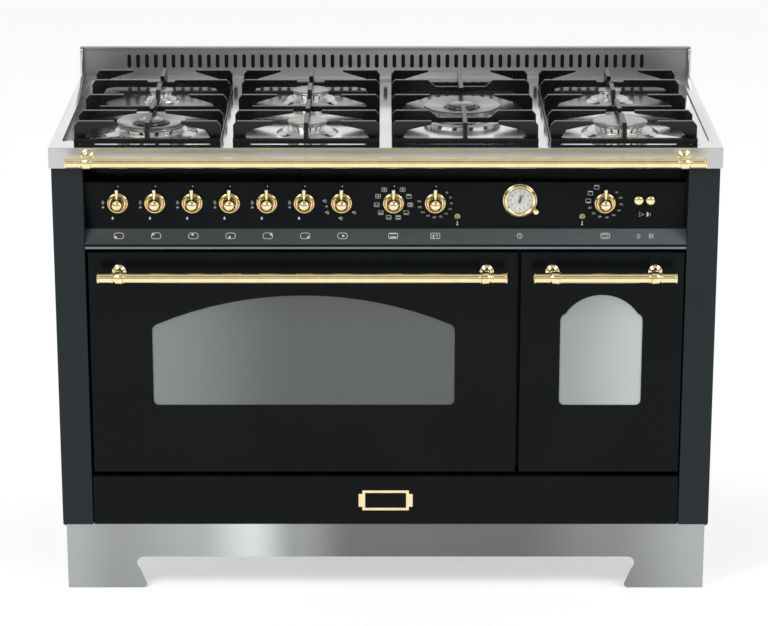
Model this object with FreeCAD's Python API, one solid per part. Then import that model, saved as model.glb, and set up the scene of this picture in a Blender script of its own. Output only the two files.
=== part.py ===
import FreeCAD, Part
import math
import os

# Freestanding 120 cm range cooker. Millimetres, +Z up, the front faces -Y.
# A place is written as (x, s, z): x to the right of the middle, s behind the
# worktop's front face, and z above the floor.

# ---- driving dimensions -------------------------------------------------
WIDTH = 1200.0
DEPTH = 600.0
BODY_INSET = 3.0
BACK_SPACE = 15.0
SHEET = 2.0
POST_WIDTH = 56.0
POST_FRONT = 10.0
POST_BACK = 34.0
BODY_HALF = WIDTH / 2 - BODY_INSET
BODY_BACK = DEPTH - BACK_SPACE
INNER_HALF = BODY_HALF - POST_WIDTH

# ---- heights, from the floor up ---------------------------------------------
PLINTH_TOP = 130.0
PLINTH_FRONT = 20.0
PAN_TOP = PLINTH_TOP - 9.0
PAN_LOW = PAN_TOP - 3.0
DRAWER_LOW = PLINTH_TOP + 1.0
DRAWER_HEIGHT = 94.0
DRAWER_HIGH = DRAWER_LOW + DRAWER_HEIGHT
DOOR_LOW = DRAWER_HIGH + 9.5
DOOR_HEIGHT = 419.5
DOOR_HIGH = DOOR_LOW + DOOR_HEIGHT
TRIM_LOW = DOOR_HIGH + 6.0
TRIM_HIGH = TRIM_LOW + 4.0
LIP_LOW = TRIM_HIGH + 5.0
LIP_HIGH = LIP_LOW + 24.0
PANEL_HEIGHT = 86.0
PANEL_TOP = LIP_HIGH + PANEL_HEIGHT
RECESS_HEIGHT = 33.0
RIM_LOW = PANEL_TOP + RECESS_HEIGHT
WORKTOP_RIM = 38.0
WORKTOP_TOP = RIM_LOW + WORKTOP_RIM
SPLASH_HEIGHT = 58.0
SPLASH_TOP = WORKTOP_TOP + SPLASH_HEIGHT

# ---- doors -------------------------------------------------------------------
FACE = 10.0
DOOR_BACK = 30.0
LINER_BACK = 48.0
FRAME_FRONT = 50.0
FRAME_BACK = 54.0
SMALL_DOOR_WIDTH = 294.0
DOOR_GAP = 6.0
SMALL_DOOR = (INNER_HALF - 3.0 - SMALL_DOOR_WIDTH, INNER_HALF - 3.0)
MAIN_DOOR = (5.0 - INNER_HALF, SMALL_DOOR[0] - DOOR_GAP)
MAIN_MIDDLE = sum(MAIN_DOOR) / 2
SMALL_MIDDLE = sum(SMALL_DOOR) / 2
MAIN_WINDOW = {
    "mid": MAIN_MIDDLE,
    "half": MAIN_DOOR[1] - MAIN_MIDDLE - 112.5,
    "shoulder": DOOR_HIGH - 140.0,
    "crown": DOOR_HIGH - 81.0,
}
SMALL_WINDOW = {
    "mid": SMALL_MIDDLE,
    "half": SMALL_DOOR[1] - SMALL_MIDDLE - 72.5,
    "shoulder": DOOR_HIGH - 120.0,
    "crown": DOOR_HIGH - 80.0,
}
WINDOW_SILL = DOOR_LOW + 129.5
WINDOW_CORNER = 9.0
CROWN_CHORDS = 17
PANE_LAP = 10.0
HINGE_S = FACE + 14.0
HINGE_Z = DOOR_LOW + 11.5
HINGE_PIN = 4.0
HINGE_FIT = 0.06
HINGE_INSET = 55.0
NOTCH_HALF = 10.5

# ---- oven cavities ---------------------------------------------------------
CAVITY_LOW = DOOR_LOW + 47.5
CAVITY_HIGH = DOOR_HIGH - 32.0
CAVITY_BACK = BODY_BACK - 85.0
MAIN_CAVITY = (MAIN_DOOR[0] + 52.0, MAIN_DOOR[1] - 52.0)
SMALL_CAVITY = (SMALL_DOOR[0] + 37.0, SMALL_DOOR[1] - 37.0)
LINER_WALL = 3.0
FAN_Z = (CAVITY_LOW + CAVITY_HIGH) / 2
FAN_SHAFT = 3.5
FAN_FIT = 0.08

# ---- controls --------------------------------------------------------------
PANEL_FRONT = 30.0
PANEL_SHEET = 1.5
RECESS_BACK = PANEL_FRONT + 28.0
PANEL_BACK = PANEL_FRONT + PANEL_SHEET
CLOCK_X = (MAIN_DOOR[1] + SMALL_DOOR[0]) / 2
KNOB_Z = LIP_HIGH + 48.0
CLOCK_Z = KNOB_Z + 5.0
GAS_COUNT = 7
FIRST_KNOB = 59.4 - INNER_HALF
OVEN_KNOBS = {
    "function_knob": CLOCK_X - 227.0,
    "main_thermostat_knob": CLOCK_X - 152.0,
    "small_thermostat_knob": CLOCK_X + 153.0,
}
GAS_PITCH = (OVEN_KNOBS["function_knob"] - 93.3 - FIRST_KNOB) / (GAS_COUNT - 1)
GAS_KNOBS = [FIRST_KNOB + GAS_PITCH * i for i in range(GAS_COUNT)]
BALL = 12.0
BALL_S = 14.0
SPINDLE = 3.0
SPINDLE_FIT = 0.06
SPINDLE_SIDES = 8
SPINDLE_FLAT = 1.8
BUTTONS = {"light_button": CLOCK_X + 213.0, "spark_button": CLOCK_X + 234.5}
BUTTON_Z = KNOB_Z + 5.5
LAMPS = (CLOCK_X - 112.0, CLOCK_X + 112.5)
LAMP_Z = KNOB_Z - 25.0
GAS_PIPE_X = BODY_HALF - 42.0
GAS_PIPE_S = PANEL_FRONT + 48.0
GAS_PIPE = 10.0
TAP_HALF = 13.0

# ---- brass bars --------------------------------------------------------------
BAR = 9.5
BAR_COLLAR = BAR + 0.8
FERRULE = 12.0
POST_TO_END = 35.5
RAIL_S = -45.0
RAIL_Z = WORKTOP_TOP - 16.0
RAIL_POST = WIDTH / 2 - 70.0
HANDLE_S = FACE - 43.0
HANDLE_Z = DOOR_HIGH - 35.0
MAIN_HANDLE_POST = MAIN_DOOR[1] - MAIN_MIDDLE - 56.0
SMALL_HANDLE_POST = SMALL_DOOR[1] - SMALL_MIDDLE - 54.5
SMALL_HANDLE_SHIFT = 2.0

# ---- hob ---------------------------------------------------------------------
BASIN_DEPTH = 4.0
BASIN_FLOOR = WORKTOP_TOP - BASIN_DEPTH
BASIN_HALF = WIDTH / 2 - 20.0
BASIN_S = (24.0, DEPTH - 40.0)
BASIN_CORNER = 40.0
GRATE_GAP = 22.0
GRATE_PITCH = (BASIN_HALF - 12.0) / 2
GRATE_HALF = (GRATE_PITCH - GRATE_GAP) / 2
GRATE_NAMES = ("grate_left", "grate_mid_left", "grate_triple", "grate_right")
GRATES = {name: GRATE_PITCH * (i - 1.5) for i, name in enumerate(GRATE_NAMES)}
GRATE_S = (BASIN_S[0] + 6.0, BASIN_S[1] - 65.0)
GRATE_HEIGHT = 37.0
GRATE_TOP = WORKTOP_TOP + GRATE_HEIGHT
GRATE_BAR = 9.0
FRONT_BURNER_S = GRATE_S[0] + 105.0
REAR_BURNER_S = GRATE_S[1] - 107.0
MIDDLE_BURNER_S = sum(GRATE_S) / 2
INNER_GAP = 11.0
CUP_TOP = BASIN_FLOOR + 5.0
HEAD_TOP = CUP_TOP + 12.0
CAP_TOP = HEAD_TOP + 6.0

# ---- directions and the number of flats on a turned piece ----------------------
UP = (0, 0, 1)
FORWARD = (0, -1, 0)
RIGHT = (1, 0, 0)
SIDES = 10
MID_DEPTH = (RAIL_S - FERRULE * math.cos(math.pi / SIDES) + DEPTH) / 2


# ---- building blocks -----------------------------------------------------------
def at(x, s, z):
    """The model's point for a place: its middle from front to back is y = 0."""
    return FreeCAD.Vector(x, s - MID_DEPTH, z)


def box(x0, x1, s0, s1, z0, z1):
    """A block between two opposite corners."""
    return Part.makeBox(x1 - x0, s1 - s0, z1 - z0, at(x0, s0, z0))


def extruded(points, way):
    """A closed outline of corner points, pushed along a vector."""
    return Part.Face(Part.makePolygon(points + points[:1])).extrude(FreeCAD.Vector(*way))


def front_plate(outline, s0, s1):
    """An (x, z) outline seen from the front, s0 to s1 deep."""
    return extruded([at(x, s0, z) for x, z in outline], (0, s1 - s0, 0))


def side_profile(outline, x0, x1):
    """An (s, z) outline seen from the side, running from x0 to x1."""
    return extruded([at(x0, s, z) for s, z in outline], (x1 - x0, 0, 0))


def fused(pieces):
    """One solid from pieces that share faces or overlap."""
    whole = pieces[0].multiFuse(pieces[1:]) if len(pieces) > 1 else pieces[0]
    return whole.removeSplitter()


def ring_points(start, along, distance, radius, sides):
    """The corners of one many-sided ring about an axis."""
    axis = FreeCAD.Vector(*along)
    across = FreeCAD.Vector(0, 0, 1) if abs(axis.z) < 0.5 else FreeCAD.Vector(1, 0, 0)
    third = axis.cross(across)
    centre = start + axis * distance
    turns = [2 * math.pi * (i + 0.5) / sides for i in range(sides)]
    return [centre + across * (radius * math.cos(t)) + third * (radius * math.sin(t)) for t in turns]


def turned(profile, start, along, sides=SIDES, hollow=False):
    """A many-sided turning of (distance, radius) pairs; a hollow one closes on itself as a ring."""
    rings = [ring_points(start, along, d, r, sides) for d, r in profile]
    faces = []
    if hollow:
        rings.append(rings[0])
    else:
        faces.append(Part.Face(Part.makePolygon(rings[0] + rings[0][:1])))
        faces.append(Part.Face(Part.makePolygon(rings[-1] + rings[-1][:1])))
    for near, far in zip(rings, rings[1:]):
        for i in range(sides):
            j = (i + 1) % sides
            faces.append(Part.Face(Part.makePolygon([near[i], near[j], far[j], far[i], near[i]])))
    solid = Part.makeSolid(Part.makeShell(faces))
    return solid if solid.Volume > 0 else solid.reversed()


def arched_outline(window, grow=0.0):
    """The closed outline of an arched window, in the plane of the door's face, in short chords."""
    left = window["mid"] - window["half"] - grow
    right = window["mid"] + window["half"] + grow
    low = WINDOW_SILL - grow
    shoulder = window["shoulder"]
    crown = window["crown"] + grow
    r = WINDOW_CORNER
    cut = r * (1 - math.sqrt(0.5))
    spring = shoulder + cut + 2
    arcs = [
        ((right - r, low), (right - cut, low + cut), (right, low + r), 4),
        ((right, shoulder - r), (right - cut, shoulder), (right - r, spring), 4),
        ((right - r, spring), (window["mid"], crown), (left + r, spring), CROWN_CHORDS),
        ((left + r, spring), (left + cut, shoulder), (left, shoulder - r), 4),
        ((left, low + r), (left + cut, low + cut), (left + r, low), 4),
    ]
    corners = []
    for *places, count in arcs:
        bend = Part.Arc(*[at(x, 0, z) for x, z in places]).toShape()
        for point in bend.discretize(Number=count):
            if not corners or point.distanceToPoint(corners[-1]) > 0.01:
                corners.append(point)
    return Part.makePolygon(corners + corners[:1])


def arched_plate(window, s0, s1, grow=0.0):
    """A plate of the window's outline from s0 to s1."""
    plate = Part.Face(arched_outline(window, grow)).extrude(FreeCAD.Vector(0, s1 - s0, 0))
    plate.translate(FreeCAD.Vector(0, s0, 0))
    return plate


def rounded_block(x0, x1, s0, s1, z0, z1, radius):
    """A block whose upright edges are rounded."""
    block = box(x0, x1, s0, s1, z0, z1)
    upright = [e for e in block.Edges if abs(e.Vertexes[0].Z - e.Vertexes[1].Z) > 0.5 * (z1 - z0)]
    return block.makeFillet(radius, upright)


def round_sides(radius):
    """Few sides on a small turning, more on a large one."""
    return 8 if radius < 30 else 12 if radius < 55 else 18


def bore_radius(shaft, fit, sides):
    """Corner radius of a many-sided bore whose flats stand off a shaft by the fit."""
    return (shaft + fit) / math.cos(math.pi / sides)


# ---- hob ---------------------------------------------------------------------
def burners():
    """Place and sizes of each burner: cap, inner cap, head ring and collar radii, and its flame ports."""
    left, mid_left, triple, right = GRATES.values()
    front = FRONT_BURNER_S
    rear = REAR_BURNER_S
    rows = [
        (left, front, 62.5, 22.0, 66.0, 84.0, 10),
        (left, rear, 23.0, 0.0, 28.0, 35.0, 5),
        (mid_left, front, 36.5, 0.0, 46.0, 56.5, 6),
        (mid_left, rear, 35.5, 0.0, 46.0, 55.5, 6),
        (triple, MIDDLE_BURNER_S, 71.5, 22.5, 76.0, 88.0, 10),
        (right, front, 50.0, 0.0, 59.5, 70.0, 8),
        (right, rear, 22.0, 0.0, 36.0, 47.5, 5),
    ]
    names = ("x", "s", "cap", "inner", "ring", "collar", "ports")
    return [dict(zip(names, row)) for row in rows]


def worktop():
    """Pressed top: a deep rim, a shallow basin with rounded corners and a hole under each burner."""
    half = WIDTH / 2
    turned_in = 14.0
    top = box(-half, half, 0, DEPTH, RIM_LOW, WORKTOP_TOP)
    under = BASIN_FLOOR - SHEET
    hollow = box(SHEET - half, half - SHEET, SHEET, DEPTH - SHEET, RIM_LOW + SHEET, under)
    mouth = box(turned_in - half, half - turned_in, turned_in, DEPTH - turned_in, RIM_LOW - 1, RIM_LOW + 3)
    basin = rounded_block(-BASIN_HALF, BASIN_HALF, *BASIN_S, BASIN_FLOOR, WORKTOP_TOP + 1, BASIN_CORNER)
    shell = top.cut(hollow).cut(mouth).cut(basin)
    for burner in burners():
        reach = burner["cap"] * 0.6
        hole = turned([(0, reach), (20, reach)], at(burner["x"], burner["s"], under - 5), UP, 8)
        shell = shell.cut(hole)
    return shell


def splashback():
    """Upstand along the back: slotted front sheet folded over to the back, and a narrow return at each end."""
    half = WIDTH / 2
    wall = 1.5
    front = DEPTH - 8.0
    folded = [(front, WORKTOP_TOP), (front, SPLASH_TOP), (DEPTH, SPLASH_TOP), (DEPTH, WORKTOP_TOP)]
    folded += [(DEPTH - wall, WORKTOP_TOP), (DEPTH - wall, SPLASH_TOP - wall)]
    folded += [(front + wall, SPLASH_TOP - wall), (front + wall, WORKTOP_TOP)]
    sheet = side_profile(folded, -half, half)
    end_margin = 96.0
    pitch = 17.38
    half_wide = 3.75
    half_tall = 13.5
    middle = SPLASH_TOP - 29.5
    count = int(2 * (half - end_margin) / pitch + 0.01) + 1
    slots = []
    for i in range(count):
        x = pitch * (i - (count - 1) / 2)
        across = (x - half_wide, x + half_wide)
        slots.append(box(*across, front - 1, front + 3, middle - half_tall, middle + half_tall))
    sheet = sheet.cut(Part.Compound(slots))
    wing = [(front, WORKTOP_TOP), (front, SPLASH_TOP), (front - 8, SPLASH_TOP - 1), (front - 12, WORKTOP_TOP)]
    wings = [side_profile(wing, -half, -half + wall), side_profile(wing, half - wall, half)]
    return fused([sheet] + wings)


def burner_cups():
    """Low collars pressed up round each burner, and a spark electrode beside each head."""
    pieces = []
    for b in burners():
        slope = [(0, b["collar"]), (CUP_TOP - BASIN_FLOOR, b["ring"])]
        pieces.append(turned(slope, at(b["x"], b["s"], BASIN_FLOOR), UP, round_sides(b["collar"])))
        reach = (b["cap"] + b["ring"]) / 2 + 1.0
        turn = math.radians(215)
        place = at(b["x"] + reach * math.cos(turn), b["s"] + reach * math.sin(turn), CUP_TOP)
        pieces.append(turned([(0, 2.2), (8, 2.2), (12, 0.8)], place, UP, 6))
    return Part.Compound(pieces)


def burner_heads():
    """Aluminium crowns with flame ports cut into their upper edge."""
    pieces = []
    for b in burners():
        place = at(b["x"], b["s"], CUP_TOP)
        crown = b["cap"] - 3.0
        height = HEAD_TOP - CUP_TOP
        head = turned([(0, crown - 4), (height, crown)], place, UP, round_sides(crown))
        inner = b["inner"]
        if inner:
            bore = inner + INNER_GAP
            well = turned([(3, bore), (height + 1, bore)], place, UP, 16)
            head = fused([head.cut(well), turned([(2, inner - 4), (height + 4, inner - 2)], place, UP, 12)])
        ports = []
        for i in range(b["ports"]):
            x = b["x"] + crown
            slot = box(x - 6, x + 4, b["s"] - 1.2, b["s"] + 1.2, HEAD_TOP - 5, HEAD_TOP + 1)
            slot.rotate(place, FreeCAD.Vector(0, 0, 1), 360.0 * (i + 0.5) / b["ports"])
            ports.append(slot)
        pieces.append(head.cut(Part.Compound(ports)))
    return Part.Compound(pieces)


def burner_caps():
    """Enamelled caps with a bevelled rim; a dished ring with an inner cap on the two multi-crown burners."""
    pieces = []
    for b in burners():
        place = at(b["x"], b["s"], HEAD_TOP)
        r = b["cap"]
        thick = CAP_TOP - HEAD_TOP
        inner = b["inner"]
        if inner:
            opening = inner + INNER_GAP
            loop = [(0, opening), (1.5, opening), (thick, r - 3), (thick - 1.5, r), (0, r - 2)]
            pieces.append(turned(loop, place, UP, round_sides(r), hollow=True))
            pieces.append(turned([(4, inner), (8, inner), (10, inner - 4)], place, UP, 14))
        else:
            pieces.append(turned([(0, r - 1), (thick - 3, r), (thick, r - 4)], place, UP, round_sides(r)))
    return Part.Compound(pieces)


def finger(tip_from_middle, tip_depth, foot_z):
    """Half outline of a pan support: from the frame up round the outer corner and along to its tip."""
    outer = GRATE_HALF
    return [
        (outer, foot_z),
        (outer, GRATE_TOP - 8),
        (outer - 7, GRATE_TOP),
        (tip_from_middle, GRATE_TOP),
        (tip_from_middle, GRATE_TOP - tip_depth),
        (outer - 28, GRATE_TOP - 16),
        (outer - 16, foot_z),
    ]


def grate(middle, triple):
    """Cast grate: a low frame on four feet, cross rows of side fingers and a spine along the middle."""
    s0, s1 = GRATE_S
    foot = BASIN_FLOOR + 0.2
    low = foot + 4.0
    high = low + 9.0
    inside = GRATE_HALF - GRATE_BAR
    frame = box(middle - GRATE_HALF, middle + GRATE_HALF, s0, s1, low, high)
    opening = box(middle - inside, middle + inside, s0 + GRATE_BAR, s1 - GRATE_BAR, low - 1, high + 1)
    frame = frame.cut(opening)
    pieces = [frame]
    for x in (middle - GRATE_HALF, middle + inside):
        for s in (s0 + 8, s1 - 24):
            pieces.append(box(x, x + GRATE_BAR, s, s + 16, foot, low))
    half_bar = GRATE_BAR / 2
    centre = (s0 + s1) / 2
    rows = [(s0 + 22, 60.0, 6.0), (centre, 60.0, 3.0), (s1 - 22, 60.0, 3.0)]
    if not triple:
        rows += [(FRONT_BURNER_S, 26.0, 5.0), (REAR_BURNER_S, 26.0, 5.0)]
    for s, tip, depth in rows:
        for side in (-1, 1):
            outline = [(middle + side * x, z) for x, z in finger(tip, depth, low + 2)]
            pieces.append(front_plate(outline, s - half_bar, s + half_bar))
    if triple:
        half = GRATE_HALF
        right = [(half, low + 2), (half, GRATE_TOP - 8), (half - 7, GRATE_TOP), (62, GRATE_TOP)]
        right += [(47, GRATE_TOP - 13)]
        under = [(40, GRATE_TOP - 22), (half - 31, GRATE_TOP - 22), (half - 16, low + 2)]
        left = [(-x, z) for x, z in reversed(right)]
        belly = [(-x, z) for x, z in reversed(under)] + under
        outline = [(middle + x, z) for x, z in right + left + belly]
        for s in (FRONT_BURNER_S, REAR_BURNER_S):
            pieces.append(front_plate(outline, s - half_bar, s + half_bar))
    else:
        pieces.append(box(middle - inside, middle + inside, centre - 4, centre + 4, high - 4, high + 6))
    near_tip = centre - 74.5 if triple else FRONT_BURNER_S - 20.0
    far_tip = centre + 56.0 if triple else REAR_BURNER_S + 30.0
    for end, way, tip in ((s0, 1, near_tip), (s1, -1, far_tip)):
        spine = [(end, low + 2), (end, GRATE_TOP - 8), (end + 7 * way, GRATE_TOP), (tip, GRATE_TOP)]
        spine += [(tip, GRATE_TOP - 10), (end + 28 * way, GRATE_TOP - 16), (end + 15 * way, low + 2)]
        pieces.append(side_profile(spine, middle - 4, middle + 4))
    if not triple:
        bridge = []
        for way, tip in ((-1, FRONT_BURNER_S + 15), (1, REAR_BURNER_S - 27)):
            under = [(centre + 40.5 * way, high - 2), (centre + 61.5 * way, GRATE_TOP - 15)]
            nose = [(tip, GRATE_TOP - 10), (tip, GRATE_TOP)]
            dip = [(centre + 37.5 * way, GRATE_TOP), (centre + 28.5 * way, high + 8)]
            bridge += (under + nose + dip)[::-way]
        pieces.append(side_profile(bridge, middle - 4, middle + 4))
    return fused(pieces)


# ---- cabinet -----------------------------------------------------------------
def cabinet_sides():
    """Left and right side sheets, each folded round into a front post and a rear flange."""
    pieces = []
    for side in (-1, 1):
        x0, x1 = sorted((side * INNER_HALF, side * BODY_HALF))
        post = box(x0, x1, POST_FRONT, POST_BACK, PLINTH_TOP, RIM_LOW)
        x0, x1 = sorted((side * (BODY_HALF - 3), side * BODY_HALF))
        sheet = box(x0, x1, POST_BACK, BODY_BACK, PAN_LOW, RIM_LOW)
        x0, x1 = sorted((side * (BODY_HALF - 25), side * BODY_HALF))
        flange = box(x0, x1, BODY_BACK - 3, BODY_BACK, PAN_LOW, RIM_LOW)
        pieces.append(fused([post, sheet, flange]))
    return Part.Compound(pieces)


def rear_panel():
    """Back sheet with two banks of cooling louvres and a hole for the gas pipe."""
    half = BODY_HALF - 4
    sheet = box(-half, half, BODY_BACK, BODY_BACK + SHEET, PAN_TOP, RIM_LOW)
    through = (BODY_BACK - 1, BODY_BACK + SHEET + 1)
    bank_half = 130.0
    slots = []
    for bank in (-BODY_HALF / 2.3, BODY_HALF / 2.3):
        for i in range(6):
            low = RIM_LOW - 172 + 16 * i
            slots.append(box(bank - bank_half, bank + bank_half, *through, low, low + 6))
    clear = TAP_HALF
    slots.append(box(GAS_PIPE_X - clear, GAS_PIPE_X + clear, *through, KNOB_Z - clear, KNOB_Z + clear))
    return sheet.cut(Part.Compound(slots))


SLIDE_LEVEL = DRAWER_LOW + 29.0
BOX_HALF = INNER_HALF - 23.0
SLIDE_FIT = 0.3


def base_frame():
    """Base pan with a drawer rail on an upright bracket along each side."""
    half = BODY_HALF - 3
    pieces = [box(-half, half, POST_BACK + 2, BODY_BACK - 3, PAN_LOW, PAN_TOP)]
    outer = BOX_HALF + 16
    s1 = BODY_BACK - 45
    for side in (-1, 1):
        x0, x1 = sorted((side * (outer - SHEET), side * outer))
        pieces.append(box(x0, x1, 60, s1, PAN_TOP, SLIDE_LEVEL + 20))
        x0, x1 = sorted((side * (outer - SHEET - 8), side * (outer - SHEET)))
        pieces.append(box(x0, x1, 60, s1, SLIDE_LEVEL - SHEET, SLIDE_LEVEL))
    return fused(pieces)


def levelling_feet():
    """Four screw feet: a wide pad and a stem up to the pan."""
    pieces = []
    for x in (57 - BODY_HALF, BODY_HALF - 57):
        for s in (PLINTH_FRONT + 70, BODY_BACK - 55):
            foot = [(0, 20), (6, 20), (10, 9), (PAN_LOW, 9)]
            pieces.append(turned(foot, at(x, s, 0), UP, 8))
    return Part.Compound(pieces)


def plinth_foot(side, half):
    """One end of the kick plate's lower edge: along the floor, up the shaped foot and into the apron."""
    toe = half - 147.0
    neck = half - 130.0
    notch = 12.0
    round_toe = 8.0
    apron = 62.0
    low_notch = apron - 2 * notch + 1.5
    places = [(half, 0), (toe + round_toe, 0), (toe + 1.5, 3.0), (toe, round_toe), (neck - 4, low_notch)]
    places += [(neck + 1, apron - notch), (neck - notch, apron)]
    a, b, c, d, e, f, g = [at(side * x, 0, z) for x, z in places]
    edges = [Part.LineSegment(a, b), Part.Arc(b, c, d), Part.LineSegment(d, e), Part.Arc(e, f, g)]
    return edges, g


def plinth():
    """Stainless kick plate cut out between two shaped feet, with side returns and a top flange."""
    half = BODY_HALF - 5
    right, right_end = plinth_foot(1, half)
    left, left_end = plinth_foot(-1, half)
    edges = right + left + [Part.LineSegment(left_end, right_end)]
    corner = [at(x, 0, z) for x, z in ((-half, 0), (-half, PLINTH_TOP), (half, PLINTH_TOP), (half, 0))]
    edges += [Part.LineSegment(a, b) for a, b in zip(corner, corner[1:])]
    outline = Part.Wire(Part.__sortEdges__([e.toShape() for e in edges]))
    sheet = Part.Face(outline).extrude(FreeCAD.Vector(0, SHEET, 0))
    sheet.translate(FreeCAD.Vector(0, PLINTH_FRONT, 0))
    back = PLINTH_FRONT + SHEET
    pieces = [sheet, box(-half, half, back, 60, PAN_TOP, PAN_TOP + SHEET)]
    for side in (-1, 1):
        x0, x1 = sorted((side * half, side * (half - SHEET)))
        pieces.append(box(x0, x1, back, back + 60, 0, PAN_LOW))
    return fused(pieces)


def front_frame():
    """Oven front: the sheet that the doors close on, a rail over the drawer and the door hinge brackets."""
    inner = INNER_HALF - 0.5
    sheet = box(-inner, inner, FRAME_FRONT, FRAME_BACK, DRAWER_HIGH + 1, TRIM_HIGH + 2)
    for x0, x1 in (MAIN_CAVITY, SMALL_CAVITY):
        sheet = sheet.cut(box(x0, x1, FRAME_FRONT - 1, FRAME_BACK + 1, CAVITY_LOW, CAVITY_HIGH))
    pieces = [sheet, box(-inner, inner, POST_BACK, FRAME_FRONT, DRAWER_HIGH + 1, DRAWER_HIGH + 3.5)]
    for x in hinge_places():
        for x0 in (x - 8, x + 5):
            pieces.append(box(x0, x0 + 3, HINGE_S - 6, FRAME_FRONT, HINGE_Z - 8, HINGE_Z + 8))
        pin = [(0, HINGE_PIN), (20, HINGE_PIN)]
        pieces.append(turned(pin, at(x - 10, HINGE_S, HINGE_Z), RIGHT, SPINDLE_SIDES))
    return fused(pieces)


def hinge_places():
    """Two hinges per door, near its ends."""
    places = []
    for left, right in (MAIN_DOOR, SMALL_DOOR):
        places += [left + HINGE_INSET, right - HINGE_INSET]
    return places


def towel_rail():
    """Brass rail along the worktop's front rim, on two turned brackets."""
    pieces = [turned_bar(0.0, RAIL_POST, RAIL_S, RAIL_Z)]
    for x in (-RAIL_POST, RAIL_POST):
        pieces.append(bracket(x, 0.0, RAIL_S, RAIL_Z))
    return fused(pieces)


def turned_bar(middle, post, s, z):
    """A bar with a ferrule over each post and a plain end piece with a rim."""
    end = post + POST_TO_END
    tube = BAR - 0.4
    rim = BAR_COLLAR
    half = [(post - 12, BAR), (post - 9, FERRULE), (post + 5, FERRULE), (post + 8, 8.0), (post + 11, rim)]
    half += [(post + 13, tube), (end - 3, tube), (end - 2, rim), (end, rim)]
    profile = [(-d, r) for d, r in reversed(half)] + half
    return turned([(d + end, r) for d, r in profile], at(middle - end, s, z), RIGHT)


def bracket(x, base_s, s, z):
    """A turned post from a rosette on the face out to the bar."""
    length = base_s - s
    shape = [(0, 10.0), (3, 10.0), (5, 6.0), (length - 8, 6.0), (length, 7.5)]
    return turned(shape, at(x, base_s, z), FORWARD, 8)


# ---- doors -------------------------------------------------------------------
def door_panel(door, window):
    """Outer door: an enamelled tray, open at the back, with its arched window and hinge notches."""
    x0, x1 = door
    tray = box(x0, x1, FACE, DOOR_BACK, DOOR_LOW, DOOR_HIGH)
    inside = box(x0 + SHEET, x1 - SHEET, FACE + SHEET, DOOR_BACK + 1, DOOR_LOW + SHEET, DOOR_HIGH - SHEET)
    tray = tray.cut(inside).cut(arched_plate(window, FACE - 1, FACE + 3))
    for x in hinge_places():
        if x0 < x < x1:
            across = (x - NOTCH_HALF, x + NOTCH_HALF)
            tray = tray.cut(box(*across, FACE + SHEET, DOOR_BACK + 1, DOOR_LOW - 1, DOOR_LOW + 3))
    return tray


def door_glass(window):
    """Window pane behind the door's skin."""
    return arched_plate(window, FACE + SHEET, FACE + SHEET + 4, PANE_LAP)


def door_liner(door, window):
    """Inner door: a back sheet with a raised plug round the inner glass, and the lugs of the hinges."""
    x0, x1 = door
    edge = SHEET + 0.2
    back = box(x0 + edge, x1 - edge, DOOR_BACK - SHEET, DOOR_BACK, DOOR_LOW + edge, DOOR_HIGH - edge)
    plug = box(x0 + 22, x1 - 22, DOOR_BACK, LINER_BACK, HINGE_Z + 16, DOOR_HIGH - 18)
    whole = fused([back, plug])
    half = window["half"] - 12
    sight = (window["mid"] - half, window["mid"] + half)
    whole = whole.cut(box(*sight, DOOR_BACK - 3, LINER_BACK + 1, WINDOW_SILL + 10, window["shoulder"]))
    radius = bore_radius(HINGE_PIN, HINGE_FIT, SPINDLE_SIDES)
    lugs = []
    for x in hinge_places():
        if x0 < x < x1:
            across = (x - NOTCH_HALF, x + NOTCH_HALF)
            whole = whole.cut(box(*across, DOOR_BACK - 3, DOOR_BACK + 1, DOOR_LOW, HINGE_Z + 12))
            lug = box(x - 4, x + 4, HINGE_S - 8, DOOR_BACK, HINGE_Z - 8, HINGE_Z + 30)
            bore = turned([(0, radius), (20, radius)], at(x - 10, HINGE_S, HINGE_Z), RIGHT, SPINDLE_SIDES)
            lugs.append(lug.cut(bore))
    inner_glass = box(*sight, DOOR_BACK + 8, DOOR_BACK + 12, WINDOW_SILL + 10, window["shoulder"])
    return Part.Compound([fused([whole] + lugs), inner_glass])


def door_handle(middle, post):
    """Brass bar handle on two turned posts."""
    pieces = [turned_bar(middle, post, HANDLE_S, HANDLE_Z)]
    for x in (middle - post, middle + post):
        pieces.append(bracket(x, FACE, HANDLE_S, HANDLE_Z))
    return fused(pieces)


# ---- drawer ------------------------------------------------------------------
def drawer_front():
    """Folded drawer front with a plain framed plaque."""
    half = INNER_HALF - 2
    tray = box(-half, half, FACE, DOOR_BACK - 2, DRAWER_LOW, DRAWER_HIGH)
    inside = box(SHEET - half, half - SHEET, FACE + SHEET, DOOR_BACK, DRAWER_LOW + SHEET, DRAWER_HIGH - SHEET)
    return Part.Compound([tray.cut(inside), plaque()])


def plaque():
    """A blank plaque with scooped corners and a raised border."""
    wide = 50.0
    tall = 19.75
    scoop = 7.0
    border = 5.25
    z = (DRAWER_LOW + DRAWER_HIGH) / 2 + 1
    corner = [(wide - scoop, tall), (wide - scoop, tall - scoop), (wide, tall - scoop)]
    right = corner + [(x, -y) for x, y in reversed(corner)]
    outline = right + [(-x, -y) for x, y in right]
    plate = front_plate([(x, z + y) for x, y in outline], FACE - 3, FACE)
    across = wide - scoop - border
    up = tall - border
    return plate.cut(box(-across, across, FACE - 4, FACE - 2, z - up, z + up))


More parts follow.
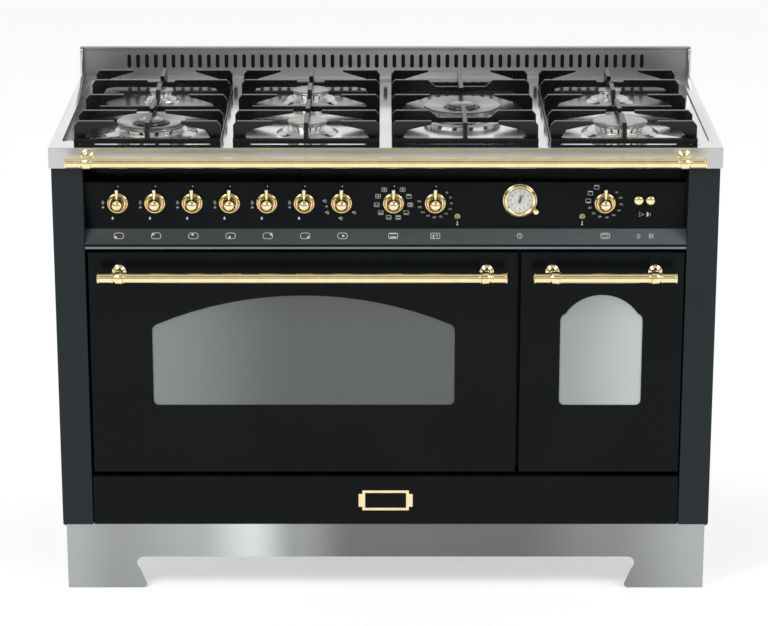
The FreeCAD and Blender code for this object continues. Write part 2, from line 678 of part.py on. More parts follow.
def drawer_box():
    """Open steel tray with a slide bar along each side and a face sheet inside the drawer front."""
    x = BOX_HALF
    s0 = DOOR_BACK - 2
    s1 = BODY_BACK - 105
    z0 = DRAWER_LOW + 3
    z1 = DRAWER_HIGH - 11
    tray = box(-x, x, s0, s1, z0, z1)
    tray = tray.cut(box(SHEET - x, x - SHEET, s0 + SHEET, s1 - SHEET, z0 + SHEET, z1 + 1))
    wide = INNER_HALF - 2 - SHEET
    pieces = [tray, box(-wide, wide, s0 - SHEET, s0, DRAWER_LOW + SHEET, DRAWER_HIGH - SHEET)]
    low = SLIDE_LEVEL + SLIDE_FIT
    for side in (-1, 1):
        x0, x1 = sorted((side * x, side * (x + 13)))
        pieces.append(box(x0, x1, 70, s1, low, low + 5.7))
    return fused(pieces)


# ---- ovens -------------------------------------------------------------------
def oven_liner(cavity):
    """Enamelled oven box, open at the front, with a fold that backs the front frame."""
    x0, x1 = cavity
    w = LINER_WALL
    shell = box(x0 - w, x1 + w, FRAME_BACK, CAVITY_BACK + w, CAVITY_LOW - w, CAVITY_HIGH + w)
    shell = shell.cut(box(x0, x1, FRAME_BACK - 1, CAVITY_BACK, CAVITY_LOW, CAVITY_HIGH))
    if cavity == MAIN_CAVITY:
        middle = MAIN_WINDOW["mid"]
        hole = turned([(0, 5), (20, 5)], at(middle, CAVITY_BACK + 10, FAN_Z), FORWARD)
        shell = shell.cut(hole)
    return shell


def oven_racks():
    """Wire side racks hung on the oven walls, with one wire shelf in each oven."""
    pieces = []
    wire = 5.0
    near = FRAME_BACK + 26
    far = CAVITY_BACK - 50
    levels = (CAVITY_LOW + 58, CAVITY_LOW + 118)
    for x0, x1 in (MAIN_CAVITY, SMALL_CAVITY):
        for x in (x0, x1 - wire):
            upright = (CAVITY_LOW + 38, CAVITY_HIGH - 102)
            ladder = [box(x, x + wire, s, s + wire, *upright) for s in (near + 10, far - 20)]
            ladder += [box(x, x + wire, near, far, z, z + wire) for z in levels]
            pieces.append(fused(ladder))
        level = levels[1] + wire
        shelf = [box(x0 + 0.5, x1 - 0.5, s, s + 6, level, level + 6) for s in (near, far - 10)]
        left = x0 + wire + 4
        right = x1 - wire - 8
        count = 6 if x1 - x0 > 400 else 4
        for i in range(count):
            x = left + (right - left) * i / (count - 1)
            shelf.append(box(x, x + 4, near, far - 4, level + 1, level + 5))
        pieces.append(fused(shelf))
    return Part.Compound(pieces)


def oven_seals():
    """Door seals round the two oven mouths."""
    rings = []
    for x0, x1 in (MAIN_CAVITY, SMALL_CAVITY):
        outer = box(x0 - 12, x1 + 12, LINER_BACK + 0.2, FRAME_FRONT, CAVITY_LOW - 12, CAVITY_HIGH + 12)
        inner = box(x0 - 4, x1 + 4, LINER_BACK, FRAME_FRONT + 1, CAVITY_LOW - 4, CAVITY_HIGH + 4)
        rings.append(outer.cut(inner))
    return Part.Compound(rings)


def oven_elements():
    """Grill element under the roof of each oven: a square-cornered loop held by tails through the back."""
    pieces = []
    inset = 45.0
    rod = 7.0
    near = FRAME_BACK + 56
    z = CAVITY_HIGH - 22
    for x0, x1 in (MAIN_CAVITY, SMALL_CAVITY):
        left, right = x0 + inset, x1 - inset
        middle = (left + right) / 2
        loops = [box(left, right, near, near + rod, z, z + rod)]
        for x in (left, right - rod, middle - 25, middle + 18):
            loops.append(box(x, x + rod, near, CAVITY_BACK, z, z + rod))
        pieces.append(fused(loops))
    return Part.Compound(pieces)


def fan_unit():
    """Slotted fan cover on the back wall of the large oven, and the motor behind that wall."""
    middle = MAIN_MIDDLE
    reach = 115.0
    tall = 100.0
    front = CAVITY_BACK - 38
    cover = box(middle - reach, middle + reach, front, CAVITY_BACK, FAN_Z - tall, FAN_Z + tall)
    reach -= SHEET
    tall -= SHEET
    hollow = box(middle - reach, middle + reach, front + SHEET, CAVITY_BACK + 1, FAN_Z - tall, FAN_Z + tall)
    slots = []
    for i in range(7):
        x = middle + 21 * (i - 3)
        half = 50 - 3.5 * abs(i - 3) ** 2 / 1.5
        slots.append(box(x - 3, x + 3, front - 1, front + 3, FAN_Z - half, FAN_Z + half))
    cover = cover.cut(hollow).cut(Part.Compound(slots))
    radius = bore_radius(FAN_SHAFT, FAN_FIT, SIDES)
    behind = CAVITY_BACK + LINER_WALL
    motor = turned([(0, 34), (45, 34)], at(middle, behind + 45, FAN_Z), FORWARD)
    bush = turned([(0, radius), (20, radius)], at(middle, behind + 15, FAN_Z), FORWARD)
    return Part.Compound([cover, motor.cut(bush)])


def oven_fan():
    """Bladed fan wheel on its shaft."""
    middle = MAIN_MIDDLE
    place = at(middle, CAVITY_BACK - 10, FAN_Z)
    pieces = [turned([(0, 70), (2, 70)], place, FORWARD, 14)]
    blades = 8
    for i in range(blades):
        blade = box(middle + 40, middle + 68, CAVITY_BACK - 28, CAVITY_BACK - 11, FAN_Z - 1, FAN_Z + 1)
        blade.rotate(place, FreeCAD.Vector(0, 1, 0), 360.0 * i / blades)
        pieces.append(blade)
    shaft = turned([(0, FAN_SHAFT), (38, FAN_SHAFT)], at(middle, CAVITY_BACK + 15, FAN_Z), FORWARD)
    return fused(pieces + [shaft])


# ---- control panel -------------------------------------------------------------
def control_panel():
    """Folded panel: recess under the worktop, upright face, inclined lip; and the bright strip below it."""
    inner = INNER_HALF - 0.5
    t = PANEL_SHEET
    top = RIM_LOW
    hem = FRAME_FRONT - 4
    outside = [(RECESS_BACK, top), (RECESS_BACK, PANEL_TOP), (PANEL_FRONT, PANEL_TOP)]
    outside += [(PANEL_FRONT, LIP_HIGH), (FACE, LIP_LOW), (FACE, LIP_LOW - 3), (hem, LIP_LOW - 3)]
    inside = [(hem, LIP_LOW - 3 + t), (FACE + t, LIP_LOW - 3 + t), (FACE + t, LIP_LOW - 0.5)]
    inside += [(PANEL_FRONT + t, LIP_HIGH - 0.5), (PANEL_FRONT + t, PANEL_TOP - t)]
    inside += [(RECESS_BACK + t, PANEL_TOP - t), (RECESS_BACK + t, top)]
    panel = side_profile(outside + inside, -inner, inner)
    holes = []
    for x in GAS_KNOBS + list(OVEN_KNOBS.values()):
        holes.append((x, KNOB_Z, 6.0, 4))
    for x in BUTTONS.values():
        holes.append((x, BUTTON_Z, 9.5, 12))
    for x in LAMPS:
        holes.append((x, LAMP_Z, 2.8, 8))
    holes.append((CLOCK_X, CLOCK_Z, 27.0, 16))
    holes.append((*clock_knob_place(), 2.2, 8))
    tools = []
    for x, z, radius, sides in holes:
        tools.append(turned([(0, radius), (6, radius)], at(x, PANEL_FRONT + 4, z), FORWARD, sides))
    strip = box(-inner, inner, FACE + 2, FRAME_FRONT, TRIM_LOW, TRIM_HIGH)
    return Part.Compound([panel.cut(Part.Compound(tools)), strip])


def panel_fittings():
    """Knob bezels, pilot lamps, and the switch bodies behind the oven knobs and buttons."""
    pieces = []
    for x in GAS_KNOBS + list(OVEN_KNOBS.values()):
        rim = [(0, 14.0), (0, 20.0), (6, 16.5)]
        pieces.append(turned(rim, at(x, PANEL_FRONT, KNOB_Z), FORWARD, hollow=True))
    for x in LAMPS:
        lamp = [(0, 2.6), (14, 2.6), (14, 4.5), (17, 3.0)]
        pieces.append(turned(lamp, at(x, PANEL_FRONT + 14, LAMP_Z), FORWARD, 8))
    back = PANEL_BACK
    for x in OVEN_KNOBS.values():
        body = box(x - 20, x + 20, back, back + 28, KNOB_Z - 20, KNOB_Z + 20)
        pieces.append(body.cut(spindle_bore(x, back + 18)))
    x0 = BUTTONS["light_button"] - 16
    x1 = BUTTONS["spark_button"] + 16
    pieces.append(box(x0, x1, back + 16, back + 30, BUTTON_Z - 12, BUTTON_Z + 12))
    for x in (x0, x1 - 3):
        pieces.append(box(x, x + 3, back, back + 16, BUTTON_Z - 12, BUTTON_Z + 12))
    return Part.Compound(pieces)


def spindle_bore(x, deep):
    """The running bore for a spindle, from well in front of its body to its blind end."""
    radius = bore_radius(SPINDLE, SPINDLE_FIT, SPINDLE_SIDES)
    return turned([(0, radius), (deep - 10, radius)], at(x, deep, KNOB_Z), FORWARD, SPINDLE_SIDES)


def gas_manifold():
    """Square supply rail behind the panel with a tap at each gas knob, led to a threaded inlet."""
    start = GAS_KNOBS[0] - 28.4
    end = DEPTH - 20
    r = GAS_PIPE
    across = (KNOB_Z - r, KNOB_Z + r)
    along = box(start, GAS_PIPE_X + r, GAS_PIPE_S - r, GAS_PIPE_S + r, *across)
    back = box(GAS_PIPE_X - r, GAS_PIPE_X + r, GAS_PIPE_S, end, *across)
    thread = Part.makeCylinder(10.4, 18, at(GAS_PIPE_X, end, KNOB_Z), FreeCAD.Vector(0, 1, 0))
    pieces = [along, back, thread]
    low = KNOB_Z - TAP_HALF
    high = KNOB_Z + TAP_HALF
    for x in GAS_KNOBS:
        pieces.append(box(x - TAP_HALF, x + TAP_HALF, PANEL_BACK, GAS_PIPE_S, low, high))
    whole = fused(pieces)
    for x in GAS_KNOBS:
        whole = whole.cut(spindle_bore(x, PANEL_FRONT + 30))
    return whole


def gas_spindle(x):
    """Tap spindle with a driving flat at its front end."""
    rear = PANEL_FRONT + 28
    length = rear - BALL_S
    shaft = turned([(0, SPINDLE), (length, SPINDLE)], at(x, rear, KNOB_Z), FORWARD, SPINDLE_SIDES)
    return shaft.cut(box(x - 5, x + 5, BALL_S - 5, PANEL_FRONT - 2, KNOB_Z + SPINDLE_FLAT, KNOB_Z + 5))


def ball_knob(x, bore):
    """A ball with a tapered lever standing up from it; gas knobs have a socket for their spindle."""
    turns = [math.radians(a) for a in (-58, -24, 12, 48, 78)]
    profile = [(BALL * math.sin(t), BALL * math.cos(t)) for t in turns]
    ball = turned(profile, at(x, BALL_S, KNOB_Z), FORWARD)
    lever = turned([(9, 2.2), (27, 4.0), (29.5, 2.4)], at(x, BALL_S, KNOB_Z), UP, 6)
    if bore:
        radius = bore_radius(SPINDLE, SPINDLE_FIT, SPINDLE_SIDES)
        rear = BALL_S + 20
        socket = turned([(0, radius), (24, radius)], at(x, rear, KNOB_Z), FORWARD, SPINDLE_SIDES)
        flat = KNOB_Z + SPINDLE_FLAT + SPINDLE_FIT
        socket = socket.cut(box(x - 5, x + 5, BALL_S - 6, rear + 2, flat, KNOB_Z + 6))
        return fused([ball.cut(socket), lever.cut(socket)])
    rear = PANEL_BACK + 17
    stem = turned([(0, SPINDLE), (rear - BALL_S, SPINDLE)], at(x, rear, KNOB_Z), FORWARD, SPINDLE_SIDES)
    return fused([ball, lever, stem])


def push_button(x):
    """Domed brass button on a stem."""
    dome = [(0, 4.0), (12, 4.0), (12, 9.0), (20, 9.0), (24, 5.0)]
    return turned(dome, at(x, PANEL_FRONT + 14, BUTTON_Z), FORWARD)


def clock_knob_place():
    """The clock's setting knob stands at its lower right, just outside the bezel."""
    return CLOCK_X + 28.5, CLOCK_Z - 17.4


def clock_case():
    """Clock: brass bezel and case, a recessed dial and a flat glass."""
    place = at(CLOCK_X, PANEL_FRONT, CLOCK_Z)
    sides = 16
    bezel = turned([(0, 24), (0, 31.5), (4, 30.5), (8, 26.5), (8, 23)], place, FORWARD, sides, hollow=True)
    case = turned([(-26, 26), (0.5, 26)], place, FORWARD, sides)
    well = turned([(-1, 24), (1, 24)], place, FORWARD, sides)
    arbor = turned([(-12, 2.6), (2, 2.6)], place, FORWARD)
    glass = turned([(6.6, 23), (7.6, 23)], place, FORWARD, sides)
    return Part.Compound([fused([bezel, case]).cut(well).cut(arbor), glass])


def clock_hand(length, width, turn, depth, hub, bore, shaft):
    """A tapered hand with its hub and arbor, turned clockwise from twelve."""
    s1 = PANEL_FRONT - depth
    s0 = s1 - 0.6
    z = CLOCK_Z
    waist = length * 0.6
    outline = [(-width, -5), (width, -5), (width * 0.9, waist), (0, length), (-width * 0.9, waist)]
    blade = front_plate([(CLOCK_X + x, z + y) for x, y in outline], s0, s1)
    centre = at(CLOCK_X, 0, CLOCK_Z)
    blade.rotate(centre, FreeCAD.Vector(0, 1, 0), turn)
    disc = turned([(0, hub), (0.6, hub)], at(CLOCK_X, s1, z), FORWARD, 8)
    arbor = turned([(0, shaft), (8 + depth, shaft)], at(CLOCK_X, s0 + 8 + depth + 0.6, z), FORWARD, 8)
    hand = fused([blade, disc, arbor])
    if bore:
        hand = hand.cut(turned([(0, bore), (30, bore)], at(CLOCK_X, PANEL_FRONT + 15, z), FORWARD, 8))
    return hand


def clock_knob():
    """Small ribbed setting knob on its stem."""
    x, z = clock_knob_place()
    shape = [(0, 1.7), (26, 1.7), (26, 5.2), (32, 5.5), (34, 4.2)]
    return turned(shape, at(x, PANEL_FRONT + 16, z), FORWARD, 12)


# ---- electrical connection ---------------------------------------------------
def terminal_box():
    """Covered terminal box on the back with a cable gland facing down."""
    x0 = 37 - BODY_HALF
    x1 = x0 + 80
    s0 = BODY_BACK + SHEET
    s1 = DEPTH - 1
    z0 = PAN_TOP + 29
    z1 = z0 + 65
    middle = (x0 + x1) / 2
    case = box(x0, x1, s0, s1, z0, z1).cut(box(x0 + 2, x1 - 2, s0 + 1, s1 - 1, z0 + 2, z1 - 2))
    gland = box(middle - 5.5, middle + 5.5, s0, s1, z0 - 12, z0)
    place = at(middle, (s0 + s1) / 2, z0 - 13)
    bore = Part.makeCylinder(4.0, 20, place, FreeCAD.Vector(0, 0, 1))
    return fused([case, gland]).cut(bore)


def build():
    """Every node of the cooker by name."""
    nodes = {
        "worktop": worktop(),
        "splashback": splashback(),
        "cabinet_sides": cabinet_sides(),
        "rear_panel": rear_panel(),
        "base_frame": base_frame(),
        "front_frame": front_frame(),
        "control_panel": control_panel(),
        "plinth": plinth(),
        "levelling_feet": levelling_feet(),
        "towel_rail": towel_rail(),
        "main_oven_liner": oven_liner(MAIN_CAVITY),
        "small_oven_liner": oven_liner(SMALL_CAVITY),
        "oven_racks": oven_racks(),
        "oven_seals": oven_seals(),
        "oven_elements": oven_elements(),
        "fan_unit": fan_unit(),
        "oven_fan": oven_fan(),
        "burner_cups": burner_cups(),
        "burner_heads": burner_heads(),
        "burner_caps": burner_caps(),
        "gas_manifold": gas_manifold(),
        "panel_fittings": panel_fittings(),
        "clock_case": clock_case(),
        "minute_hand": clock_hand(18.5, 0.8, 30.0, 4.6, 2.2, 0.0, 0.8),
        "hour_hand": clock_hand(12.5, 1.2, 2.5, 3.2, 2.4, 1.1, 2.2),
        "clock_knob": clock_knob(),
        "terminal_box": terminal_box(),
        "main_door_panel": door_panel(MAIN_DOOR, MAIN_WINDOW),
        "main_door_glass": door_glass(MAIN_WINDOW),
        "main_door_liner": door_liner(MAIN_DOOR, MAIN_WINDOW),
        "main_door_handle": door_handle(MAIN_MIDDLE, MAIN_HANDLE_POST),
        "small_door_panel": door_panel(SMALL_DOOR, SMALL_WINDOW),
        "small_door_glass": door_glass(SMALL_WINDOW),
        "small_door_liner": door_liner(SMALL_DOOR, SMALL_WINDOW),
        "small_door_handle": door_handle(SMALL_MIDDLE + SMALL_HANDLE_SHIFT, SMALL_HANDLE_POST),
        "drawer_front": drawer_front(),
        "drawer_box": drawer_box(),
    }
    for number, x in enumerate(GAS_KNOBS, 1):
        nodes[f"gas_spindle_{number}"] = gas_spindle(x)
        nodes[f"gas_knob_{number}"] = ball_knob(x, True)
    for name, x in OVEN_KNOBS.items():
        nodes[name] = ball_knob(x, False)
    for name, x in BUTTONS.items():
        nodes[name] = push_button(x)
    for name, x in GRATES.items():
        nodes[name] = grate(x, name == "grate_triple")
    return nodes


os.makedirs("parts", exist_ok=True)
for name, shape in build().items():
    shape.exportStep(f"parts/{name}.step")
    print(name, round(shape.Volume), len(shape.Solids), shape.isValid())
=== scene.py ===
# %% [markdown]
# # A 120 cm range cooker, dressed
# The construction model holds every piece at its real size. Here it is loaded as a fixed frame, and each
# piece gets the surface of the real one: brushed steel, enamel, polished brass, cast iron. Flat sheets keep
# the model's own shape and only get softened edges, while round pieces are spun again with finer outlines.

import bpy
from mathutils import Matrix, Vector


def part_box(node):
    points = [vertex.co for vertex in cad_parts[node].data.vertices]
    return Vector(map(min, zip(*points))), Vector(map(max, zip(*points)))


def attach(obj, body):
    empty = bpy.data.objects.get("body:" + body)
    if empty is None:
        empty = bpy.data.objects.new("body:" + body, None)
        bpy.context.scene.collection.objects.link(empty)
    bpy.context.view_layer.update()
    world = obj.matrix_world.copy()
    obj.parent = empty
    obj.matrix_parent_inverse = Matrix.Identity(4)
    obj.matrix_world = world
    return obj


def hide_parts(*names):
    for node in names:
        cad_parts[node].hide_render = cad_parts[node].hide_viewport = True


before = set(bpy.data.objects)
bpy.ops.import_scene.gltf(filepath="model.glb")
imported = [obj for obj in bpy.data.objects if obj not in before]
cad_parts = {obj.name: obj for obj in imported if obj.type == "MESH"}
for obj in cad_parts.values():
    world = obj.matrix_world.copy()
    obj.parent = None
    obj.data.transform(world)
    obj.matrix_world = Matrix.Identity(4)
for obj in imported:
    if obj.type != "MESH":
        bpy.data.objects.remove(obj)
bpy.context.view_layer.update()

# %% [markdown]
# A maker writes places from the worktop's front edge, in millimetres: x to the right of the middle, s back
# from that edge, z up from the floor. One helper turns such a place into the frame's metres, so every later
# number can be read off the real cooker with a ruler.

# %% Places in millimetres
import bpy
import bmesh
import math
from mathutils import Matrix, Vector

MM = 0.001
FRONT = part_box("worktop")[0].y
X_WAY = Vector((1, 0, 0))
OUT = Vector((0, -1, 0))
UP = Vector((0, 0, 1))


def place(x, s, z):
    """A place on the cooker in the frame's metres."""
    return Vector((x * MM, FRONT + s * MM, z * MM))


print("worktop front at y =", round(FRONT, 4))

# %% [markdown]
# Every finish is a small network of nodes. One helper starts it with the constants set on the shader's own
# sockets, others add a node, a link or a pattern. Patterns read Object coordinates, so they stay put on a piece
# when it moves with its joint.

# %% Nodes and patterns
FINISHES = {}


def finish(name, colour, metallic=0.0, roughness=0.5, **sockets):
    """Start a finish: a Principled shader with its constants set."""
    material = bpy.data.materials.new(name)
    material.use_nodes = True
    shader = material.node_tree.nodes["Principled BSDF"]
    shader.inputs["Base Color"].default_value = (*colour, 1.0)
    shader.inputs["Metallic"].default_value = metallic
    shader.inputs["Roughness"].default_value = roughness
    for socket, value in sockets.items():
        shader.inputs[socket.replace("_", " ")].default_value = value
    FINISHES[name] = material
    return material, shader


def node(material, kind, **inputs):
    """Add a node and set its inputs by name."""
    made = material.node_tree.nodes.new(kind)
    for socket, value in inputs.items():
        made.inputs[socket.replace("_", " ")].default_value = value
    return made


def link(material, start, end):
    """Join an output to an input."""
    material.node_tree.links.new(start, end)


def grain(material, scale, stretch=(1, 1, 1), detail=3.0):
    """A noise pattern on Object coordinates, stretched along the axes that get a small factor."""
    where = node(material, "ShaderNodeTexCoord")
    mapping = node(material, "ShaderNodeMapping", Scale=stretch)
    noise = node(material, "ShaderNodeTexNoise", Scale=scale, Detail=detail)
    link(material, where.outputs["Object"], mapping.inputs["Vector"])
    link(material, mapping.outputs["Vector"], noise.inputs["Vector"])
    return noise.outputs["Fac"]


print("nodes ready")

# %% [markdown]
# A pattern drives a number, a colour or the relief. A colour can also run through a row of tones along x, a painted
# sheen or reflection.

# %% What a pattern drives
def spread(material, factor, low, high, socket):
    """Let a pattern drive a number between two values."""
    scale = node(material, "ShaderNodeMapRange", From_Min=0.3, From_Max=0.7, To_Min=low, To_Max=high)
    link(material, factor, scale.inputs["Value"])
    link(material, scale.outputs["Result"], socket)


def ramp_of(material, stops):
    """A colour ramp from (position, colour) stops."""
    ramp = node(material, "ShaderNodeValToRGB")
    steps = ramp.color_ramp.elements
    for position, colour in stops[1:-1]:
        steps.new(position)
    for step, (position, colour) in zip(steps, stops):
        step.position = position
        step.color = (*colour, 1.0)
    return ramp


def shade(material, factor, low, high, shader):
    """Let a pattern drive the colour between two shades."""
    ramp = ramp_of(material, ((0.3, low), (0.7, high)))
    link(material, factor, ramp.inputs["Fac"])
    link(material, ramp.outputs["Color"], shader.inputs["Base Color"])


def drift(material, shader, tones, x_left, x_right, tint):
    """Paint a sheen or reflection into the colour: grey tones along x, given as (part of the way, tone), faintly
    tinted.
    """
    where = node(material, "ShaderNodeTexCoord")
    apart = node(material, "ShaderNodeSeparateXYZ")
    along = node(material, "ShaderNodeMapRange", From_Min=x_left * MM, From_Max=x_right * MM)
    ramp = ramp_of(material, [(position, [tone * part for part in tint]) for position, tone in tones])
    ramp.color_ramp.interpolation = "EASE"
    link(material, where.outputs["Object"], apart.inputs["Vector"])
    link(material, apart.outputs["X"], along.inputs["Value"])
    link(material, along.outputs["Result"], ramp.inputs["Fac"])
    link(material, ramp.outputs["Color"], shader.inputs["Base Color"])


def relief(material, factor, depth, shader, strength):
    """Let a pattern roughen the surface."""
    bump = node(material, "ShaderNodeBump", Strength=strength, Distance=depth)
    link(material, factor, bump.inputs["Height"])
    link(material, bump.outputs["Normal"], shader.inputs["Normal"])


print("patterns ready")

# %% [markdown]
# Brushed stainless steel is rolled and then scratched one way, so light spreads across the scratches. The
# grain is a noise squeezed to long thin lines; it moves the roughness and tilts the surface a little. The
# worktop is polished nearly to a mirror, its rim less so. The splash strip and the kick plate carry a painted
# sheen: a ramp along x runs their colour through lighter and darker greys, as a reflection would fall on them.

# %% Brushed and pressed steel
ALONG_X = (0.5, 60, 60)
ALL_WAYS = (40, 40, 40)


def brushed_steel(name, tone, roughness, scratch=0.2, squeeze=ALONG_X):
    """Bare steel with scratches along x, or all ways on small bent pieces."""
    material, shader = finish(name, (tone, tone * 1.01, tone), 1.0, roughness, Anisotropic=0.35)
    lines = grain(material, 14.0, squeeze, 5.0)
    clouds = grain(material, 3.5, (1, 1, 0.4), 2.0)
    spread(material, lines, roughness * 0.8, roughness * 1.25, shader.inputs["Roughness"])
    shade(material, clouds, (tone * 0.92,) * 3, (tone * 1.06,) * 3, shader)
    relief(material, lines, 0.00004, shader, scratch)
    return material, shader


brushed_steel("stainless", 0.72, 0.12, 0.02)
brushed_steel("rim_steel", 0.56, 0.34, 0.05)
brushed_steel("rolled_edge", 0.75, 0.18, squeeze=ALL_WAYS)
brushed_steel("works_steel", 0.42, 0.42, squeeze=ALL_WAYS)
brushed_steel("drawer_steel", 0.56, 0.48, 0.03)
STEEL_TINT = (1, 1.03, 1.04)
# Painted sheen: grey tones along x that stand in for the reflection on the splash strip and the kick plate.
SPLASH_SHEEN_TONES = [(0.0, 0.28), (0.33, 0.56), (0.5, 0.74), (0.64, 0.66), (1.0, 0.33)]
PLINTH_SHEEN_TONES = [(0.0, 0.41), (0.08, 0.33), (0.20, 0.42), (0.29, 0.70), (0.36, 0.33)]
PLINTH_SHEEN_TONES += [(0.45, 0.17), (0.70, 0.16), (0.85, 0.25), (1.0, 0.41)]
for name, roughness, scratch, tones, half in (
    ("splash_steel_painted_sheen", 0.40, 0.1, SPLASH_SHEEN_TONES, 600),
    ("plinth_steel_painted_sheen", 0.36, 0.2, PLINTH_SHEEN_TONES, 590),
):
    material, shader = brushed_steel(name, 0.5, roughness, scratch)
    drift(material, shader, tones, -half, half, STEEL_TINT)
print("steels:", len(FINISHES))

# %% [markdown]
# Enamel and powder coat are thin skins on sheet steel. Enamel is glassy with a faint orange peel; the side
# panels have a duller, greyer coat. Cast iron shows the pebbles of its sand mould under the enamel. The
# specular level is kept low, because a black that mirrors the room stops looking black. The burner caps are the
# exception: their glassy coat catches the light at a low angle.

# %% Enamels and coats
def coated(name, low, high, roughness, peel, depth, gloss):
    """A skin between two shades: peel is the fineness of its orange peel, gloss the specular level."""
    material, shader = finish(name, low, 0.0, roughness, Specular_IOR_Level=gloss)
    skin = grain(material, peel, detail=2.0)
    cloud = grain(material, 5.0, detail=2.0)
    shade(material, cloud, low, high, shader)
    spread(material, skin, roughness - 0.04, roughness + 0.05, shader.inputs["Roughness"])
    relief(material, skin, depth, shader, 0.2)
    return material, shader


coated("black_enamel", (0.0036, 0.0050, 0.0058), (0.0048, 0.0064, 0.0072), 0.24, 420.0, 0.00002, 0.08)
# The lip is a grey enamel; its brightening from left to right is a painted reflection.
material, shader = coated("grey_lip_painted_sheen", (0.040, 0.050, 0.054), (0.048, 0.058, 0.062), 0.38, 420.0, 0.00002, 0.3)
drift(material, shader, ((0.0, 0.036), (0.5, 0.066), (1.0, 0.100)), -560, 560, (0.9, 1.05, 1.12))
coated("anthracite", (0.016, 0.022, 0.025), (0.019, 0.025, 0.028), 0.36, 500.0, 0.00003, 0.16)
coated("cast_iron", (0.0028, 0.0034, 0.0038), (0.0045, 0.0052, 0.0056), 0.25, 260.0, 0.0002, 0.34)
material, shader = coated("cap_enamel", (0.050, 0.053, 0.053), (0.065, 0.068, 0.068), 0.34, 500.0, 0.00002, 0.9)
for socket, value in (("Coat Weight", 1.0), ("Coat IOR", 1.9), ("Coat Roughness", 0.22)):
    shader.inputs[socket].default_value = value
# Painted shade: a near-black for the sheet behind the splash slots, the crown cores between ribs and the opening of
# the dished caps.
coated("painted_shade_dark", (0.010, 0.011, 0.012), (0.014, 0.015, 0.016), 0.6, 200.0, 0.00003, 0.2)
coated("oven_enamel", (0.020, 0.021, 0.024), (0.028, 0.029, 0.032), 0.3, 300.0, 0.00003, 0.5)
coated("plastic", (0.012, 0.012, 0.013), (0.017, 0.017, 0.018), 0.45, 700.0, 0.00002, 0.4)
coated("hand_black", (0.010, 0.010, 0.011), (0.014, 0.014, 0.015), 0.4, 700.0, 0.00001, 0.4)
coated("seal", (0.05, 0.05, 0.052), (0.09, 0.09, 0.092), 0.85, 900.0, 0.0006, 0.3)
coated("element", (0.020, 0.019, 0.018), (0.035, 0.032, 0.030), 0.5, 600.0, 0.00004, 0.4)
coated("dial_face", (0.90, 0.91, 0.91), (0.93, 0.94, 0.94), 0.45, 500.0, 0.00001, 0.4)
coated("print_white", (0.62, 0.64, 0.64), (0.70, 0.72, 0.72), 0.5, 500.0, 0.00001, 0.3)
coated("inner_pane", (0.012, 0.013, 0.014), (0.016, 0.017, 0.018), 0.06, 9.0, 0.00001, 0.6)
coated("ceramic", (0.75, 0.73, 0.68), (0.80, 0.78, 0.74), 0.35, 500.0, 0.00002, 0.5)
print("coats so far:", len(FINISHES))

# %% [markdown]
# Polished brass, cast aluminium, chrome and zinc are bare metals. Polished brass is nearly a mirror, with
# only a breath of unevenness from the buffing wheel. The burner crowns are machined aluminium, tinted gold
# where the flames leave them.

# %% Bare metals and glass
def bare_metal(name, low, high, roughness, scale, depth):
    """A metal between two shades, with the scale and depth of its wear."""
    material, shader = finish(name, low, 1.0, roughness)
    wear = grain(material, scale, detail=3.0)
    shade(material, wear, low, high, shader)
    spread(material, wear, roughness * 0.7, roughness * 1.4, shader.inputs["Roughness"])
    relief(material, wear, depth, shader, 0.15)


bare_metal("brass", (0.84, 0.70, 0.38), (0.92, 0.79, 0.47), 0.11, 45.0, 0.00003)
bare_metal("port_brass", (0.45, 0.33, 0.10), (0.62, 0.46, 0.16), 0.3, 300.0, 0.00003)
bare_metal("aluminium", (0.80, 0.80, 0.78), (0.90, 0.90, 0.88), 0.22, 60.0, 0.00001)
bare_metal("satin_alloy", (0.80, 0.80, 0.79), (0.86, 0.86, 0.85), 0.40, 60.0, 0.00001)
bare_metal("collar_steel", (0.50, 0.51, 0.52), (0.58, 0.59, 0.60), 0.16, 30.0, 0.00001)
bare_metal("chrome_wire", (0.62, 0.63, 0.64), (0.70, 0.71, 0.72), 0.16, 60.0, 0.00002)
bare_metal("chrome_trim", (0.19, 0.205, 0.215), (0.24, 0.255, 0.265), 0.34, 60.0, 0.00002)
bare_metal("galvanised", (0.44, 0.46, 0.48), (0.60, 0.62, 0.64), 0.42, 38.0, 0.00002)
bare_metal("raw_steel", (0.40, 0.40, 0.40), (0.52, 0.52, 0.52), 0.34, 60.0, 0.00003)


def glass(name, colour, roughness):
    """A smooth glossy skin with a faint film."""
    material, shader = finish(name, colour, 0.0, roughness)
    film = grain(material, 9.0, detail=2.0)
    spread(material, film, roughness, roughness + 0.02, shader.inputs["Roughness"])
    return shader


glass("clock_glass", (0.90, 0.94, 0.96), 0.03).inputs["Alpha"].default_value = 0.07
glass("lamp_amber", (0.34, 0.26, 0.10), 0.25)
print("finishes:", len(FINISHES))

# %% [markdown]
# The oven windows look like soft grey sheets, paler towards one side, and the oven doesn't show through.
# Their grey is a painted reflection: a wide ramp along x runs it from one side to the other.

# %% Oven windows in painted reflection
def mirror_window(name, left, right, x_left, x_right):
    """A window whose tone, a painted reflection, drifts between two sides, given in millimetres along x."""
    material, shader = finish(name, (left,) * 3, 0.0, 0.12)
    drift(material, shader, ((0.0, left), (1.0, right)), x_left, x_right, (0.94, 1.01, 1.02))
    spread(material, grain(material, 7.0), 0.10, 0.16, shader.inputs["Roughness"])


mirror_window("main_window_painted_reflection", 0.245, 0.105, -424, -160)
mirror_window("small_window_painted_reflection", 0.370, 0.590, 316, 465)
print("window coatings done")

# %% [markdown]
# Three helpers cover nearly all the shaping. A lathe spins an outline about an axis, a block is a cube
# scaled to its corners, and a plate is a flat outline pushed out. All of them add to a bmesh, so one object
# can be put together from several strokes.

